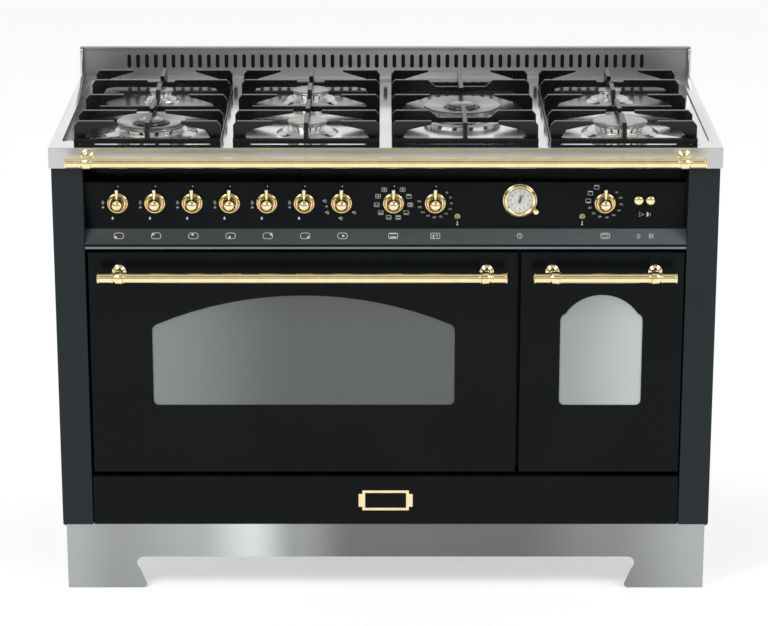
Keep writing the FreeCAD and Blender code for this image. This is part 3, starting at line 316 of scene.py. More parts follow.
# %% Shaping helpers
def lathe(bm, outline, at, axis, steps, finish_index=0):
    """Spin (distance, radius) pairs about an axis, one full turn."""
    side = axis.orthogonal().normalized()
    before = set(bm.faces)
    points = [bm.verts.new(at + axis * (d * MM) + side * (r * MM)) for d, r in outline]
    edges = [bm.edges.new(pair) for pair in zip(points, points[1:])]
    bmesh.ops.spin(bm, geom=points + edges, cent=at, axis=axis, angle=math.tau, steps=steps, use_merge=True)
    for face in bm.faces:
        if face not in before:
            face.material_index = finish_index


def block(bm, x0, x1, s0, s1, z0, z1, finish_index=0):
    """A cube scaled and moved between two corners."""
    low, high = place(x0, s0, z0), place(x1, s1, z1)
    cube = bmesh.ops.create_cube(bm, size=1.0)["verts"]
    bmesh.ops.scale(bm, vec=high - low, verts=cube)
    bmesh.ops.translate(bm, vec=(low + high) / 2, verts=cube)
    for face in {f for v in cube for f in v.link_faces}:
        face.material_index = finish_index
    return cube


def points_of(made):
    """The vertices among what an operator made."""
    return [g for g in made["geom"] if isinstance(g, bmesh.types.BMVert)]


def plate(bm, corners, push):
    """A flat outline of places, pushed out by a vector."""
    face = bm.faces.new([bm.verts.new(c) for c in corners])
    moved = points_of(bmesh.ops.extrude_face_region(bm, geom=[face], use_keep_orig=True))
    bmesh.ops.translate(bm, vec=push, verts=moved)
    return moved + list(face.verts)


print("shapes: lathe, block, plate")

# %% [markdown]
# A finished piece needs its doubled points merged, its faces turned outwards, smooth shading with crisp
# edges, a place in the scene, and a body to ride on. Bent sheet and castings never have knife edges, so a
# small bevel modifier rounds them where a width is given.

# %% Finishing helpers
def settle(bm, name, body, finishes, replaced=(), bevel=0.0, angle=32.0, outward=True):
    """Turn a bmesh into a finished piece that rides on its body."""
    bmesh.ops.remove_doubles(bm, verts=bm.verts, dist=2e-6)
    if outward:
        bmesh.ops.recalc_face_normals(bm, faces=bm.faces)
    mesh = bpy.data.meshes.new(name)
    bm.to_mesh(mesh)
    bm.free()
    mesh.shade_smooth()
    mesh.set_sharp_from_angle(angle=math.radians(angle))
    piece = bpy.data.objects.new(name, mesh)
    bpy.context.scene.collection.objects.link(piece)
    for each in finishes:
        mesh.materials.append(FINISHES[each])
    if bevel:
        rounding = piece.modifiers.new("rounded edges", "BEVEL")
        rounding.width = bevel * MM
        rounding.segments = 2
        rounding.limit_method = "ANGLE"
        rounding.angle_limit = math.radians(30)
        rounding.harden_normals = True
    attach(piece, body)
    if replaced:
        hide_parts(*replaced)


def softened(source, body, finishes, bevel, choose=None):
    """A copy of a model's piece, merged and flattened, with rounded edges and its own finishes."""
    bm = bmesh.new()
    bm.from_mesh(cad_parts[source].data)
    bmesh.ops.remove_doubles(bm, verts=bm.verts, dist=1e-5)
    bmesh.ops.dissolve_limit(bm, angle_limit=math.radians(1.0), verts=bm.verts, edges=bm.edges)
    for face in bm.faces:
        face.material_index = choose(face) if choose else 0
    settle(bm, source + "_dressed", body, finishes, (source,), bevel, outward=False)


def dress(source, look):
    """Give a model's own piece a better finish where its shape is already right."""
    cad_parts[source].material_slots[0].material = FINISHES[look]


# %% [markdown]
# The cabinet is folded sheet: two side panels with wide front posts, a back, a pan and a kick plate cut out
# between two shaped feet. Their shapes are right in the model, so they are copied and their folds rounded. The
# worktop's polished top folds down to a duller rim.

# %% Cabinet and plinth
def rim_part(face):
    """The second finish for what faces the front."""
    return 1 if face.normal.y < -0.9 else 0


softened("cabinet_sides", "cooker", ["anthracite"], 1.6)
softened("plinth", "cooker", ["plinth_steel_painted_sheen"], 0.9)
softened("worktop", "cooker", ["stainless", "rim_steel"], 1.8, rim_part)
dress("rear_panel", "galvanised")
dress("base_frame", "galvanised")
dress("front_frame", "black_enamel")
dress("gas_manifold", "raw_steel")
dress("terminal_box", "plastic")
print("cabinet dressed")

# %% [markdown]
# The doors and the drawer are shallow enamelled trays, with small rounded edges that catch a line of light.
# Behind each arched opening sits its window, grey with a painted reflection. The inside of a door is an
# enamelled panel with a second, dark pane.

# %% Doors and drawer
FACE_S = 10
PLAQUE_FIELD_S = 8
PANE_S = (37, 43)


def inner_door_part(face):
    """Glass for the inner pane, which stands upright in the depth of the plug; enamel for the rest."""
    deep = (face.calc_center_median().y - FRONT) / MM
    return 1 if PANE_S[0] < deep < PANE_S[1] and abs(face.normal.y) > 0.9 else 0


for door, window in (("main_door", "main_window_painted_reflection"), ("small_door", "small_window_painted_reflection")):
    softened(door + "_panel", door, ["black_enamel"], 1.4)
    dress(door + "_glass", window)
    softened(door + "_liner", door, ["oven_enamel", "inner_pane"], 1.2, inner_door_part)


def plaque_part(face):
    """Brass for the border that stands in front of the drawer's face, enamel for the sunk field."""
    middle = face.calc_center_median()
    deep = (middle.y - FRONT) / MM
    sunk = abs(deep - PLAQUE_FIELD_S) < 0.1 and abs(middle.x) < 30 * MM
    return 1 if deep < FACE_S - 0.1 and not sunk else 0


softened("drawer_front", "storage_drawer", ["black_enamel", "brass"], 0.9, plaque_part)
dress("drawer_box", "drawer_steel")
print("doors and drawer dressed")

# %% [markdown]
# The control panel is one folded sheet: a dark recess under the worktop, an upright face and a lip that
# leans forward in a lighter grey, brightening from left to right as a painted reflection. A bright strip runs
# below it. Faces are told apart by their height and by the way they lean.

# %% Control panel
TRIM_TOP = 665


def panel_part(face):
    """The strip by its height, the lip by its lean, and the rest."""
    if face.calc_center_median().z < TRIM_TOP * MM:
        return 2
    leaning = 0.2 < face.normal.z < 0.9 and face.normal.y < -0.2
    return 1 if leaning else 0


softened("control_panel", "cooker", ["black_enamel", "grey_lip_painted_sheen", "chrome_trim"], 0.5, panel_part)
print("panel dressed")

# %% [markdown]
# Each pan grate is one casting. The model has its true outline, so the copy only needs the rounded edges that
# molten iron leaves, and the pebbled black enamel.

# %% Pan grates
GRATES = ("grate_left", "grate_mid_left", "grate_triple", "grate_right")
for grate in GRATES:
    softened(grate, grate, ["cast_iron"], 1.7)
print("grates dressed:", len(GRATES))

# %% [markdown]
# The towel rail and both door handles are turned brass: a plain bar, a barrel ferrule over each post, a
# groove, a collar and a rimmed end. One outline is spun for half a bar and its mirror image makes the other
# half. The posts are turned too, with a flat rosette where they meet the sheet.

# %% Brass rail and handles
POST_TO_END = 35.5
FLAT_REACH = 11.413  # how far the model's ferrules reach in front of the bar's axis


def bar_outline(post, end):
    """Half of the bar, from its middle out: (distance, radius)."""
    turn = [(0, 9.5), (post - 14, 9.5), (post - 13.6, 10.8), (post - 11.8, 10.8), (post - 11.4, 9.6)]
    turn += [(post - 10.6, 9.6), (post - 9.8, 11.6), (post - 7, 11.9), (post + 2.5, 11.2), (post + 4.2, 10.2)]
    turn += [(post + 4.6, 8.2), (post + 6.6, 8.2), (post + 7.2, 10.2), (post + 9.6, 10.5), (post + 10.2, 9.4)]
    turn += [(end - 3.4, 9.4), (end - 3, 10.6), (end - 0.6, 10.7), (end, 10.0), (end, 7.6)]
    return turn + [(end - 0.8, 7.0), (end - 0.8, 0)]


def brass_bar(source, body, base_s):
    """A rail or handle in place of the model's faceted one."""
    low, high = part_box(source)
    middle = (low.x + high.x) / 2 / MM
    end = (high.x - low.x) / 2 / MM
    post = end - POST_TO_END
    bar_s = (low.y - FRONT) / MM + FLAT_REACH
    bar_z = (low.z + high.z) / 2 / MM
    bm = bmesh.new()
    outline = bar_outline(post, end)
    for way in (1, -1):
        lathe(bm, outline, place(middle, bar_s, bar_z), X_WAY * way, 40)
    length = base_s - bar_s
    stand = [(0, 0), (0, 12.6), (1.0, 13.0), (2.2, 12.6), (3.2, 10.4), (4.4, 9.8), (6.0, 6.6), (8.5, 5.6)]
    stand += [(length - 16, 5.6), (length - 13, 7.8), (length - 8, 8.6), (length - 4, 8.6), (length - 4, 0)]
    for x in (middle - post, middle + post):
        lathe(bm, stand, place(x, base_s, bar_z), OUT, 32)
    settle(bm, source + "_turned", body, ["brass"], (source,), angle=40)


brass_bar("towel_rail", "cooker", 0)
brass_bar("main_door_handle", "main_door", FACE_S)
brass_bar("small_door_handle", "small_door", FACE_S)
print("bars turned")

# %% [markdown]
# A control knob is a brass ball with a tapered lever standing up from it, in front of a round bezel with a
# second ring inside. The ball's outline is a few straight turns and then an arc, all spun about the knob's
# own axis.

# %% Knobs and bezels
PANEL_S = 30.0
KNOB_Z = 741.0
BALL_OUT = 16.0
LAMPS_X = (129.0, 353.5)
LAMPS_Z = 716.0
GAS_NAMES = [f"gas_knob_{i}" for i in range(1, 8)]
OVEN_NAMES = ["function_knob", "main_thermostat_knob", "small_thermostat_knob"]


def middle_x(name):
    """The middle of a model's piece along x, in millimetres."""
    low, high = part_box(name)
    return (low.x + high.x) / 2 / MM


def arc(centre, radius, start, stop, steps):
    """Points of an arc as (distance, radius) pairs, angles in degrees."""
    turns = [math.radians(start + (stop - start) * i / steps) for i in range(steps + 1)]
    return [(centre + radius * math.sin(t), radius * math.cos(t)) for t in turns]


def ball_knob(name):
    """A ball on its neck, with the lever that points up at rest."""
    x = middle_x(name)
    bm = bmesh.new()
    neck = [(3.9, 0), (3.9, 7.4), (4.9, 7.8), (5.4, 7.2), (6.4, 6.6)]
    ball = neck + arc(BALL_OUT, 12.0, -50, 90, 18)
    lathe(bm, ball, place(x, PANEL_S, KNOB_Z), OUT, 40)
    lever = [(10, 0), (10, 2.3), (13, 2.35), (20, 3.0), (26.2, 3.9), (27.6, 4.0), (28.6, 3.4), (29.3, 2.0), (29.5, 0)]
    lathe(bm, lever, place(x, PANEL_S - BALL_OUT, KNOB_Z), UP, 24)
    settle(bm, name + "_turned", name, ["brass"], (name,), angle=40)


for name in GAS_NAMES + OVEN_NAMES:
    ball_knob(name)

bm = bmesh.new()
bezel = [(0, 20.0), (1.6, 20.0), (3.6, 19.4), (5.4, 18.2), (6.0, 17.0), (5.6, 16.0), (4.0, 15.4), (1.6, 15.2)]
bezel += [(1.4, 14.2), (3.0, 13.6), (3.4, 12.4), (2.8, 11.2), (1.2, 10.6), (0.4, 8.0), (0.4, 3.4), (0, 3.4)]
bezel.append(bezel[0])
for name in GAS_NAMES + OVEN_NAMES:
    lathe(bm, bezel, place(middle_x(name), PANEL_S, KNOB_Z), OUT, 40)
settle(bm, "knob_bezels", "cooker", ["brass"], ("panel_fittings",), angle=40)

bm = bmesh.new()
for x in LAMPS_X:
    at = place(x, PANEL_S, LAMPS_Z)
    lathe(bm, [(0, 5.2), (1.2, 5.2), (1.6, 4.9), (1.5, 4.5)], at, OUT, 28, 1)
    lathe(bm, [(0, 4.5), (1.2, 4.5), (1.8, 3.8), (2.2, 2.4), (2.4, 0)], at, OUT, 28, 0)
settle(bm, "pilot_lamps", "cooker", ["lamp_amber", "brass"], ("panel_fittings",), angle=40)

bm = bmesh.new()
for name in OVEN_NAMES:
    x = middle_x(name)
    block(bm, x - 20, x + 20, 31.5, 59.5, KNOB_Z - 20, KNOB_Z + 20)
block(bm, 438, 491.5, 47.5, 61.5, 734.5, 758.5)
settle(bm, "switch_bodies", "cooker", ["plastic"], ("panel_fittings",), bevel=1.0)
print("knobs:", len(GAS_NAMES + OVEN_NAMES))

# %% [markdown]
# The clock has a wide brass bezel, a pale dial and a flat glass.

# %% Clock
CLOCK = (241.0, 746.0)
x, z = CLOCK
bm = bmesh.new()
rim = [(0, 31.5), (1.6, 31.5), (3.6, 30.6), (4.4, 29.0), (6.4, 28.2), (7.8, 26.4), (8.0, 24.6), (7.2, 23.4)]
rim += [(6.4, 22.6), (1.0, 22.0), (-24, 22.0), (-26, 20), (-26, 0)]
at = place(x, PANEL_S, z)
lathe(bm, rim, at, OUT, 64, 0)
lathe(bm, [(1.2, 22.2), (1.2, 0)], at, OUT, 64, 1)
lathe(bm, [(6.2, 0), (6.0, 22.6), (6.6, 22.7), (7.5, 12), (7.7, 0)], at, OUT, 48, 2)
settle(bm, "clock_turned", "cooker", ["brass", "dial_face", "clock_glass"], ("clock_case",), angle=40)
print("clock at", CLOCK)

# %% [markdown]
# Minute marks are made once and copied round with spin's own duplicates. The numerals are text turned into
# mesh before it is moved to its place, so the finished object stays at the origin.

# %% Dial and hands
def printed(words, x, s, z, size):
    """Words as thin print on an upright face."""
    curve = bpy.data.curves.new("print", "FONT")
    curve.body = words
    curve.size = size * MM
    curve.align_x = "CENTER"
    curve.align_y = "CENTER"
    curve.extrude = 0.00006
    curve.resolution_u = 4
    maker = bpy.data.objects.new("print", curve)
    mesh = bpy.data.meshes.new_from_object(maker)
    bpy.data.objects.remove(maker)
    mesh.transform(Matrix.Translation(place(x, s, z)) @ Matrix.Rotation(math.radians(90), 4, "X"))
    return mesh


def gather(bm, mesh):
    """Move a mesh into a bmesh."""
    bm.from_mesh(mesh)
    bpy.data.meshes.remove(mesh)


bm = bmesh.new()
MARK_S = PANEL_S - 1.35
for steps, wide, low, high in ((60, 0.14, 20.2, 21.2), (12, 0.34, 19.4, 21.2)):
    mark = block(bm, x - wide, x + wide, MARK_S, PANEL_S - 1.2, z + low, z + high)
    faces = list({f for v in mark for f in v.link_faces})
    centre = place(x, MARK_S, z)
    bmesh.ops.spin(bm, geom=faces, cent=centre, axis=OUT, angle=math.tau, steps=steps, use_duplicate=True)
lathe(bm, [(1.25, 9.0), (1.3, 9.0), (1.3, 8.75), (1.25, 8.75)], at, OUT, 48)
settle(bm, "dial_marks", "cooker", ["hand_black"], ())

bm = bmesh.new()
for hour in range(1, 13):
    turn = math.radians(30 * hour)
    at_x = x + 16.3 * math.sin(turn)
    at_z = z + 16.3 * math.cos(turn)
    gather(bm, printed(str(hour), at_x, PANEL_S - 1.3, at_z, 6.2))
settle(bm, "dial_numerals", "cooker", ["hand_black"], (), outward=False)
dress("minute_hand", "hand_black")
dress("hour_hand", "hand_black")

bm = bmesh.new()
stem = [(-14, 0), (-14, 1.7), (8.6, 1.7), (9.2, 4.8), (10.2, 5.4), (15.6, 5.5), (17, 4.6), (17.6, 2.4), (17.7, 0)]
lathe(bm, stem, place(middle_x("clock_knob"), PANEL_S, z - 17.4), OUT, 32)
settle(bm, "clock_knob_turned", "clock_knob", ["brass"], ("clock_knob",), angle=40)
print("dial marked")

# %% [markdown]
# The two push buttons are small brass domes on stems.

# %% Push buttons
BUTTON_Z = 746.5
dome = [(-14, 0), (-14, 4), (0.2, 4), (0.2, 8.6), (0.8, 9.0), (5.6, 9.0), (6.6, 8.6), (8.6, 6.6), (9.7, 3.6), (10, 0)]
for name in ("light_button", "spark_button"):
    bm = bmesh.new()
    lathe(bm, dome, place(middle_x(name), PANEL_S, BUTTON_Z), OUT, 36)
    settle(bm, name + "_turned", name, ["brass"], (name,), angle=40)
print("buttons turned")

# %% [markdown]
# The panel is screen printed. Each mark is drawn flat, in millimetres round its own middle, then given the
# thickness of print and set on the upright panel or on the leaning lip.

# %% Printing tools
PRINT = bmesh.new()
INK = 0.08
LIP = (682.1, 20.9, 39.8)  # height, distance back and lean of the lip's middle line


def stamp(flat, x, z, s=PANEL_S, lean=0.0):
    """Give a flat drawing the thickness of print, set it on the panel at a place and empty it."""
    moved = points_of(bmesh.ops.extrude_face_region(flat, geom=list(flat.faces), use_keep_orig=True))
    bmesh.ops.translate(flat, vec=(0, 0, INK), verts=moved)
    seat = Matrix.Translation(place(x, s, z)) @ Matrix.Rotation(math.radians(90 - lean), 4, "X")
    bmesh.ops.transform(flat, matrix=seat @ Matrix.Scale(MM, 4), verts=flat.verts)
    mesh = bpy.data.meshes.new("mark")
    flat.to_mesh(mesh)
    flat.free()
    gather(PRINT, mesh)


def spot(flat, x, y, radius):
    """A filled dot."""
    bmesh.ops.create_circle(flat, cap_ends=True, segments=14, radius=radius, matrix=Matrix.Translation((x, y, 0)))


def stroke(flat, x, y, wide, tall, turn=0.0):
    """A filled bar."""
    seat = Matrix.Translation((x, y, 0)) @ Matrix.Rotation(math.radians(turn), 4, "Z")
    seat = seat @ Matrix.Diagonal((wide, tall, 1, 1))
    bmesh.ops.create_grid(flat, x_segments=1, y_segments=1, size=0.5, matrix=seat)


def traced(flat, corners, line=0.0):
    """A closed line of a given width round some corners, or a filled shape."""
    face = flat.faces.new([flat.verts.new((x, y, 0)) for x, y in corners])
    face.normal_update()
    if line:
        bmesh.ops.inset_individual(flat, faces=[face], thickness=line)
        flat.faces.remove(face)


def rounded(wide, tall, radius):
    """The corner points of a rounded rectangle."""
    points = []
    for corner, (right, up) in enumerate(((1, 1), (-1, 1), (-1, -1), (1, -1))):
        for step in range(5):
            turn = math.radians(90 * corner + 22.5 * step)
            x = right * (wide / 2 - radius) + radius * math.cos(turn)
            y = up * (tall / 2 - radius) + radius * math.sin(turn)
            points.append((x, y))
    return points


FLAME_SIDE = [(1.5, 1.2), (2.3, -0.8), (1.8, -2.6), (0.7, -3.4)]
FLAME = [(0, 3.6)] + FLAME_SIDE + [(-u, v) for u, v in reversed(FLAME_SIDE)]


def flame(x, z, size, line=0.0, beside=False):
    """A flame, filled or drawn as a line, with a dot beside it where asked."""
    flat = bmesh.new()
    traced(flat, [(u * size, v * size) for u, v in FLAME], line)
    if beside:
        spot(flat, -3.6, 0.4, 1.3)
    stamp(flat, x, z)


def star(x, z):
    """Three crossed strokes, for the spark."""
    flat = bmesh.new()
    for turn in (0, 60, 120):
        stroke(flat, 0, 0, 4.6, 0.8, turn)
    stamp(flat, x, z)


print("flame of", len(FLAME), "points")

# %% [markdown]
# A white dot stands above each knob but the last. A gas tap has three marks: an outlined flame, a spark and a
# small filled flame. The seventh, for the triple burner, has a spark and four flames with dots.

# %% Tap marks
for name in GAS_NAMES + OVEN_NAMES[:2]:
    flat = bmesh.new()
    spot(flat, 0, 0, 1.1)
    stamp(flat, middle_x(name) + 1.6, KNOB_Z + 30.6)
for name in GAS_NAMES[:6]:
    x = middle_x(name)
    flame(x - 26.3, KNOB_Z + 0.9, 1.0, 0.75)
    star(x - 26.2, KNOB_Z - 8.3)
    flame(x - 9.5, KNOB_Z - 28.2, 0.85)
x = middle_x("gas_knob_7")
star(x - 26.9, KNOB_Z - 6.6)
for across, up in ((-29.0, 3.7), (-24.5, -17.7), (-0.5, -28.5), (23.4, -17.7)):
    flame(x + across, KNOB_Z + up, 0.95, 0.75, True)
print("tap marks printed")

# %% [markdown]
# Each oven function is a small square with bars, a cross or leaning strokes inside. The lip repeats the idea:
# a rounded plan of the hob with one filled dot for each tap, and plans of the two ovens.

# %% Function marks and hob plans
TOP_BARS, LOW_BARS, CROSSES, LEANING = (2, 3, 5), (3, 4, 5, 7), (1, 9, 10), (6, 7, 8)
x = middle_x("function_knob")
for step in range(1, 11):
    turn = math.radians(step * 360 / 11)
    flat = bmesh.new()
    traced(flat, rounded(9.4, 7.8, 1.2), 0.65)
    if step in TOP_BARS:
        stroke(flat, 0, 1.8, 6.2, 1.6)
    if step in LOW_BARS:
        stroke(flat, 0, -1.9, 6.2, 1.2)
    if step in CROSSES:
        stroke(flat, 0, 0, 1.0, 5.4)
        stroke(flat, 0, 0, 5.4, 1.0)
    if step in LEANING:
        for across in (-1.8, 1.8):
            stroke(flat, across, -0.6, 0.9, 3.6, -32 * across / 1.8)
    stamp(flat, x + 30.4 * math.sin(turn), KNOB_Z + 0.5 + 28.6 * math.cos(turn))

x = middle_x("small_thermostat_knob")
for across, up in ((-15.7, 29.0), (-26.8, 18.2), (-30.2, 3.7)):
    flat = bmesh.new()
    traced(flat, rounded(9.0, 7.6, 0.8), 0.6)
    stroke(flat, 0, 2.6 if up > 10 else -2.6, 7.4, 1.2)
    stamp(flat, x + across, KNOB_Z + up)

PLAN_DOTS = ((-5.4, -2.8), (-5.4, 2.8), (-1.6, 2.6), (-1.8, -2.6), (5.6, 2.8), (5.4, -2.8), (1.4, 0.0))
for name, (across, up) in zip(GAS_NAMES, PLAN_DOTS):
    flat = bmesh.new()
    traced(flat, rounded(18.0, 12.4, 5.0), 0.95)
    spot(flat, across, up, 2.2)
    stamp(flat, middle_x(name) + 1.5, *LIP)
for x, corner, lean, marks in (
    (13.6, 2.2, 0, ((0, 4.2, 11, 1.2), (0, -2.6, 11, 2.6))),
    (89.3, 2.2, 0, ((-3.4, -1.4, 2.2, 6.0), (1.6, 1.6, 7.0, 1.0), (3.4, -1.2, 1.0, 4.0))),
    (395.0, 4.0, 14, ((-3.4, 2.4, 6.4, 1.1), (3.4, 2.4, 6.4, 1.1), (0, -2.4, 10.5, 1.1))),
):
    flat = bmesh.new()
    traced(flat, rounded(17.0, 11.6, corner), 0.95)
    for across, up, wide, tall in marks:
        stroke(flat, across, up, wide, tall, lean * ((across < 0) - (across > 0)))
    stamp(flat, x, *LIP)
print("plans printed")

# %% [markdown]
# The last marks are a clock face under the clock, a lamp and a spark under the buttons and on the lip, and a
# small thermometer under each pilot lamp. The degrees are plain numbers.

# %% Small symbols and degrees
BELOW_BUTTONS = 719.6
flat = bmesh.new()
traced(flat, rounded(9.6, 10.6, 4.7), 0.9)
stroke(flat, 0.0, 1.6, 0.9, 4.0)
stroke(flat, 1.0, -0.8, 3.0, 0.9, -35)
stamp(flat, 241.1, *LIP)
flat = bmesh.new()
traced(flat, [(0, 5.0), (2.4, 1.0), (3.2, -2.0), (-3.2, -2.0), (-2.4, 1.0)], 0.8)
stroke(flat, 0, -4.0, 4.4, 1.0)
stamp(flat, 455.0, *LIP)
flat = bmesh.new()
for up in (2.4, -2.4):
    traced(flat, [(u - 0.5, v + up) for u, v in rounded(6.6, 4.2, 1.4)], 0.8)
    stroke(flat, 3.6, up, 2.4, 0.9)
stamp(flat, 477.6, *LIP)
flat = bmesh.new()
traced(flat, [(-3.6, 5.0), (3.4, 0), (-3.6, -5.0)], 0.75)
spot(flat, 4.6, 0, 0.7)
stamp(flat, 459.6, BELOW_BUTTONS)
flat = bmesh.new()
traced(flat, [(-2.2, 4.6), (0.6, 3.4), (1.6, 0), (0.6, -3.4), (-2.2, -4.6)])
stroke(flat, 4.0, 0, 0.9, 4.4)
stamp(flat, 471.6, BELOW_BUTTONS)
for x in LAMPS_X:
    flat = bmesh.new()
    stroke(flat, 0, 1.0, 1.5, 5.6)
    spot(flat, 0, -2.4, 1.6)
    stamp(flat, x, LAMPS_Z - 12.6)

for knob, first, last, numbers in (
    ("main_thermostat_knob", 46, 276, (50, 70, 90, 110, 130, 150, 170, 190, 210, 230, 250)),
    ("small_thermostat_knob", 44, 250, (50, 100, 120, 140, 160, 180, 200, 225, 250)),
):
    x = middle_x(knob)
    for i, number in enumerate(numbers):
        turn = math.radians(first + (last - first) * i / (len(numbers) - 1))
        at_x = x + 29.0 * math.sin(turn)
        at_z = KNOB_Z + 27.2 * math.cos(turn)
        gather(PRINT, printed(str(number), at_x, PANEL_S - 0.06, at_z, 4.4))
settle(PRINT, "panel_print", "cooker", ["print_white"], outward=False)
print("marks printed")

# %% [markdown]
# The splash strip along the back is punched with slots whose ends are round. One cell of the sheet is drawn
# as two faces round half a slot each, copied along the strip, and the whole sheet is then pushed to its
# thickness. Plain strips above and below finish it. The sheet folds over to a back and has a rolled return at
# each end. A thin near-black sheet just inside the back is painted shade, so the slots look dark.

# %% Splash strip
SLOTS = 59
PITCH = 17.38
SHEET_S = 592.0
SHEET_THICK = 1.4
FIELD = (856, 902)
SLOT = (865, 892)
SLOT_HALF = 3.75


def slotted_cell(bm, x):
    """One pitch of the sheet round one slot: a left and a right face."""
    turns = [math.radians(a) for a in range(-90, 1, 18)]
    lower = [(SLOT_HALF * math.cos(t), SLOT[0] + SLOT_HALF + SLOT_HALF * math.sin(t)) for t in turns]
    upper = [(u, SLOT[0] + SLOT[1] - v) for u, v in reversed(lower)]
    corners = [(0, FIELD[1]), (PITCH / 2, FIELD[1]), (PITCH / 2, FIELD[0]), (0, FIELD[0])] + lower + upper
    for way in (-1, 1):
        bm.faces.new([bm.verts.new(place(x + way * u, SHEET_S, v)) for u, v in corners])


bm = bmesh.new()
slotted_cell(bm, -PITCH * (SLOTS - 1) / 2)
cell = list(bm.faces)
for i in range(1, SLOTS):
    shifted = points_of(bmesh.ops.duplicate(bm, geom=cell))
    bmesh.ops.translate(bm, vec=(PITCH * i * MM, 0, 0), verts=shifted)
edge = PITCH * SLOTS / 2
strips = ((-597, 597, 850, 856), (-597, 597, 902, 906), (-597, -edge, 856, 902), (edge, 597, 856, 902))
for x0, x1, z0, z1 in strips:
    bm.faces.new([bm.verts.new(place(x, SHEET_S, z)) for x, z in ((x0, z0), (x1, z0), (x1, z1), (x0, z1))])
bmesh.ops.remove_doubles(bm, verts=bm.verts, dist=1e-6)
bmesh.ops.recalc_face_normals(bm, faces=bm.faces)
back = points_of(bmesh.ops.extrude_face_region(bm, geom=list(bm.faces), use_keep_orig=True))
bmesh.ops.translate(bm, vec=(0, SHEET_THICK * MM, 0), verts=back)
settle(bm, "splash_sheet", "cooker", ["splash_steel_painted_sheen"], ("splashback",), bevel=0.45)

bm = bmesh.new()
fold = [(592, 904.6), (592.6, 906.8), (594.4, 908), (598.4, 908), (599.8, 906.8), (600, 905)]
fold += [(600, 850), (598.6, 850), (598.6, 904), (593.6, 904)]
plate(bm, [place(-599.4, s, z) for s, z in fold], Vector((1198.8 * MM, 0, 0)))
# A thin sheet in painted shade just inside the back, so the slots look dark.
block(bm, -596, 596, 597.6, 598.5, 851, 903, 1)
for way in (-1, 1):
    wing = [(600, 850), (600, 905), (597, 908), (592, 907.6), (586, 905.6), (583.4, 902), (580.6, 856), (580, 850)]
    plate(bm, [place(way * 600, s, z) for s, z in wing], Vector((-way * 1.6 * MM, 0, 0)))
    lathe(bm, [(0, 0), (0, 3.2), (52, 3.2), (54.5, 2.2), (55.2, 0)], place(way * 596.6, 582.6, 850), UP, 16)
settle(bm, "splash_edges", "cooker", ["rolled_edge", "painted_shade_dark"], ("splashback",), bevel=0.5)
print("slots:", SLOTS)

# %% [markdown]
# A burner is a stack: a pressed collar, a bright base ring, an aluminium crown that flares upwards, and an
# enamelled cap. Broad ribs stand on the crown, and a row of small brass-coloured flame ports runs under the
# cap. Ribs and ports are one small piece each, copied round the crown by spin.

# %% Burner crowns
BRIGHT, PORTS, PAINTED_SHADE, SATIN = range(4)


def spin_round(bm, vertices, at, radius, pitch):
    """Copy a small piece round a crown, about one pitch apart."""
    faces = list({f for v in vertices for f in v.link_faces})
    count = max(8, round(math.tau * radius / pitch))
    bmesh.ops.spin(bm, geom=faces, cent=at, axis=UP, angle=math.tau, steps=count, use_duplicate=True)


def crown(bm, x, s, foot, radius, low, high, rib_pitch):
    """A flared crown: a core in painted shade behind broad bright ribs, and brass ports between small teeth."""
    at = place(x, s, low)
    tall = high - low
    belt = tall - 4.4
    belt_edge = [(belt, radius - 2.6), (belt, radius - 0.4), (belt + 0.5, radius), (belt + 0.7, radius - 1.4)]
    top_edge = [(tall - 1.3, radius - 1.4), (tall - 1.2, radius + 0.4), (tall, radius + 0.8), (tall, radius - 3)]
    lathe(bm, [(0, foot - 2.6), (belt, radius - 2.6)], at, UP, 48, PAINTED_SHADE)
    lathe(bm, belt_edge, at, UP, 64, BRIGHT)
    lathe(bm, [(belt + 0.7, radius - 1.4), (tall - 1.3, radius - 1.4)], at, UP, 64, PORTS)
    lathe(bm, top_edge, at, UP, 64, BRIGHT)
    lathe(bm, [(0, foot - 3), (0, foot + 0.8), (1.0, foot + 0.6), (1.4, foot - 2.6)], at, UP, 64, BRIGHT)
    half = rib_pitch * 0.35
    rib = [(foot - 2.8, 1.2), (foot + 0.1, 1.2), (radius - 0.1, belt + 0.2), (radius - 2.8, belt + 0.2)]
    corners = [place(x - half, s - r, low + z) for r, z in rib]
    spin_round(bm, plate(bm, corners, Vector((2 * half * MM, 0, 0))), at, radius, rib_pitch)
    tooth = block(bm, x - 0.9, x + 0.9, s - radius - 0.1, s - radius + 1.6, low + belt + 0.6, high - 1.2)
    spin_round(bm, tooth, at, radius, 4.6)


print("crown of", SATIN + 1, "finishes")

# %% [markdown]
# Each row gives a burner's place, the radii of its cap, inner cap, base ring and collar, and the pitch of its
# ribs. The two large burners have a dished, ring-shaped cap with a small crown and an inner cap in its middle.

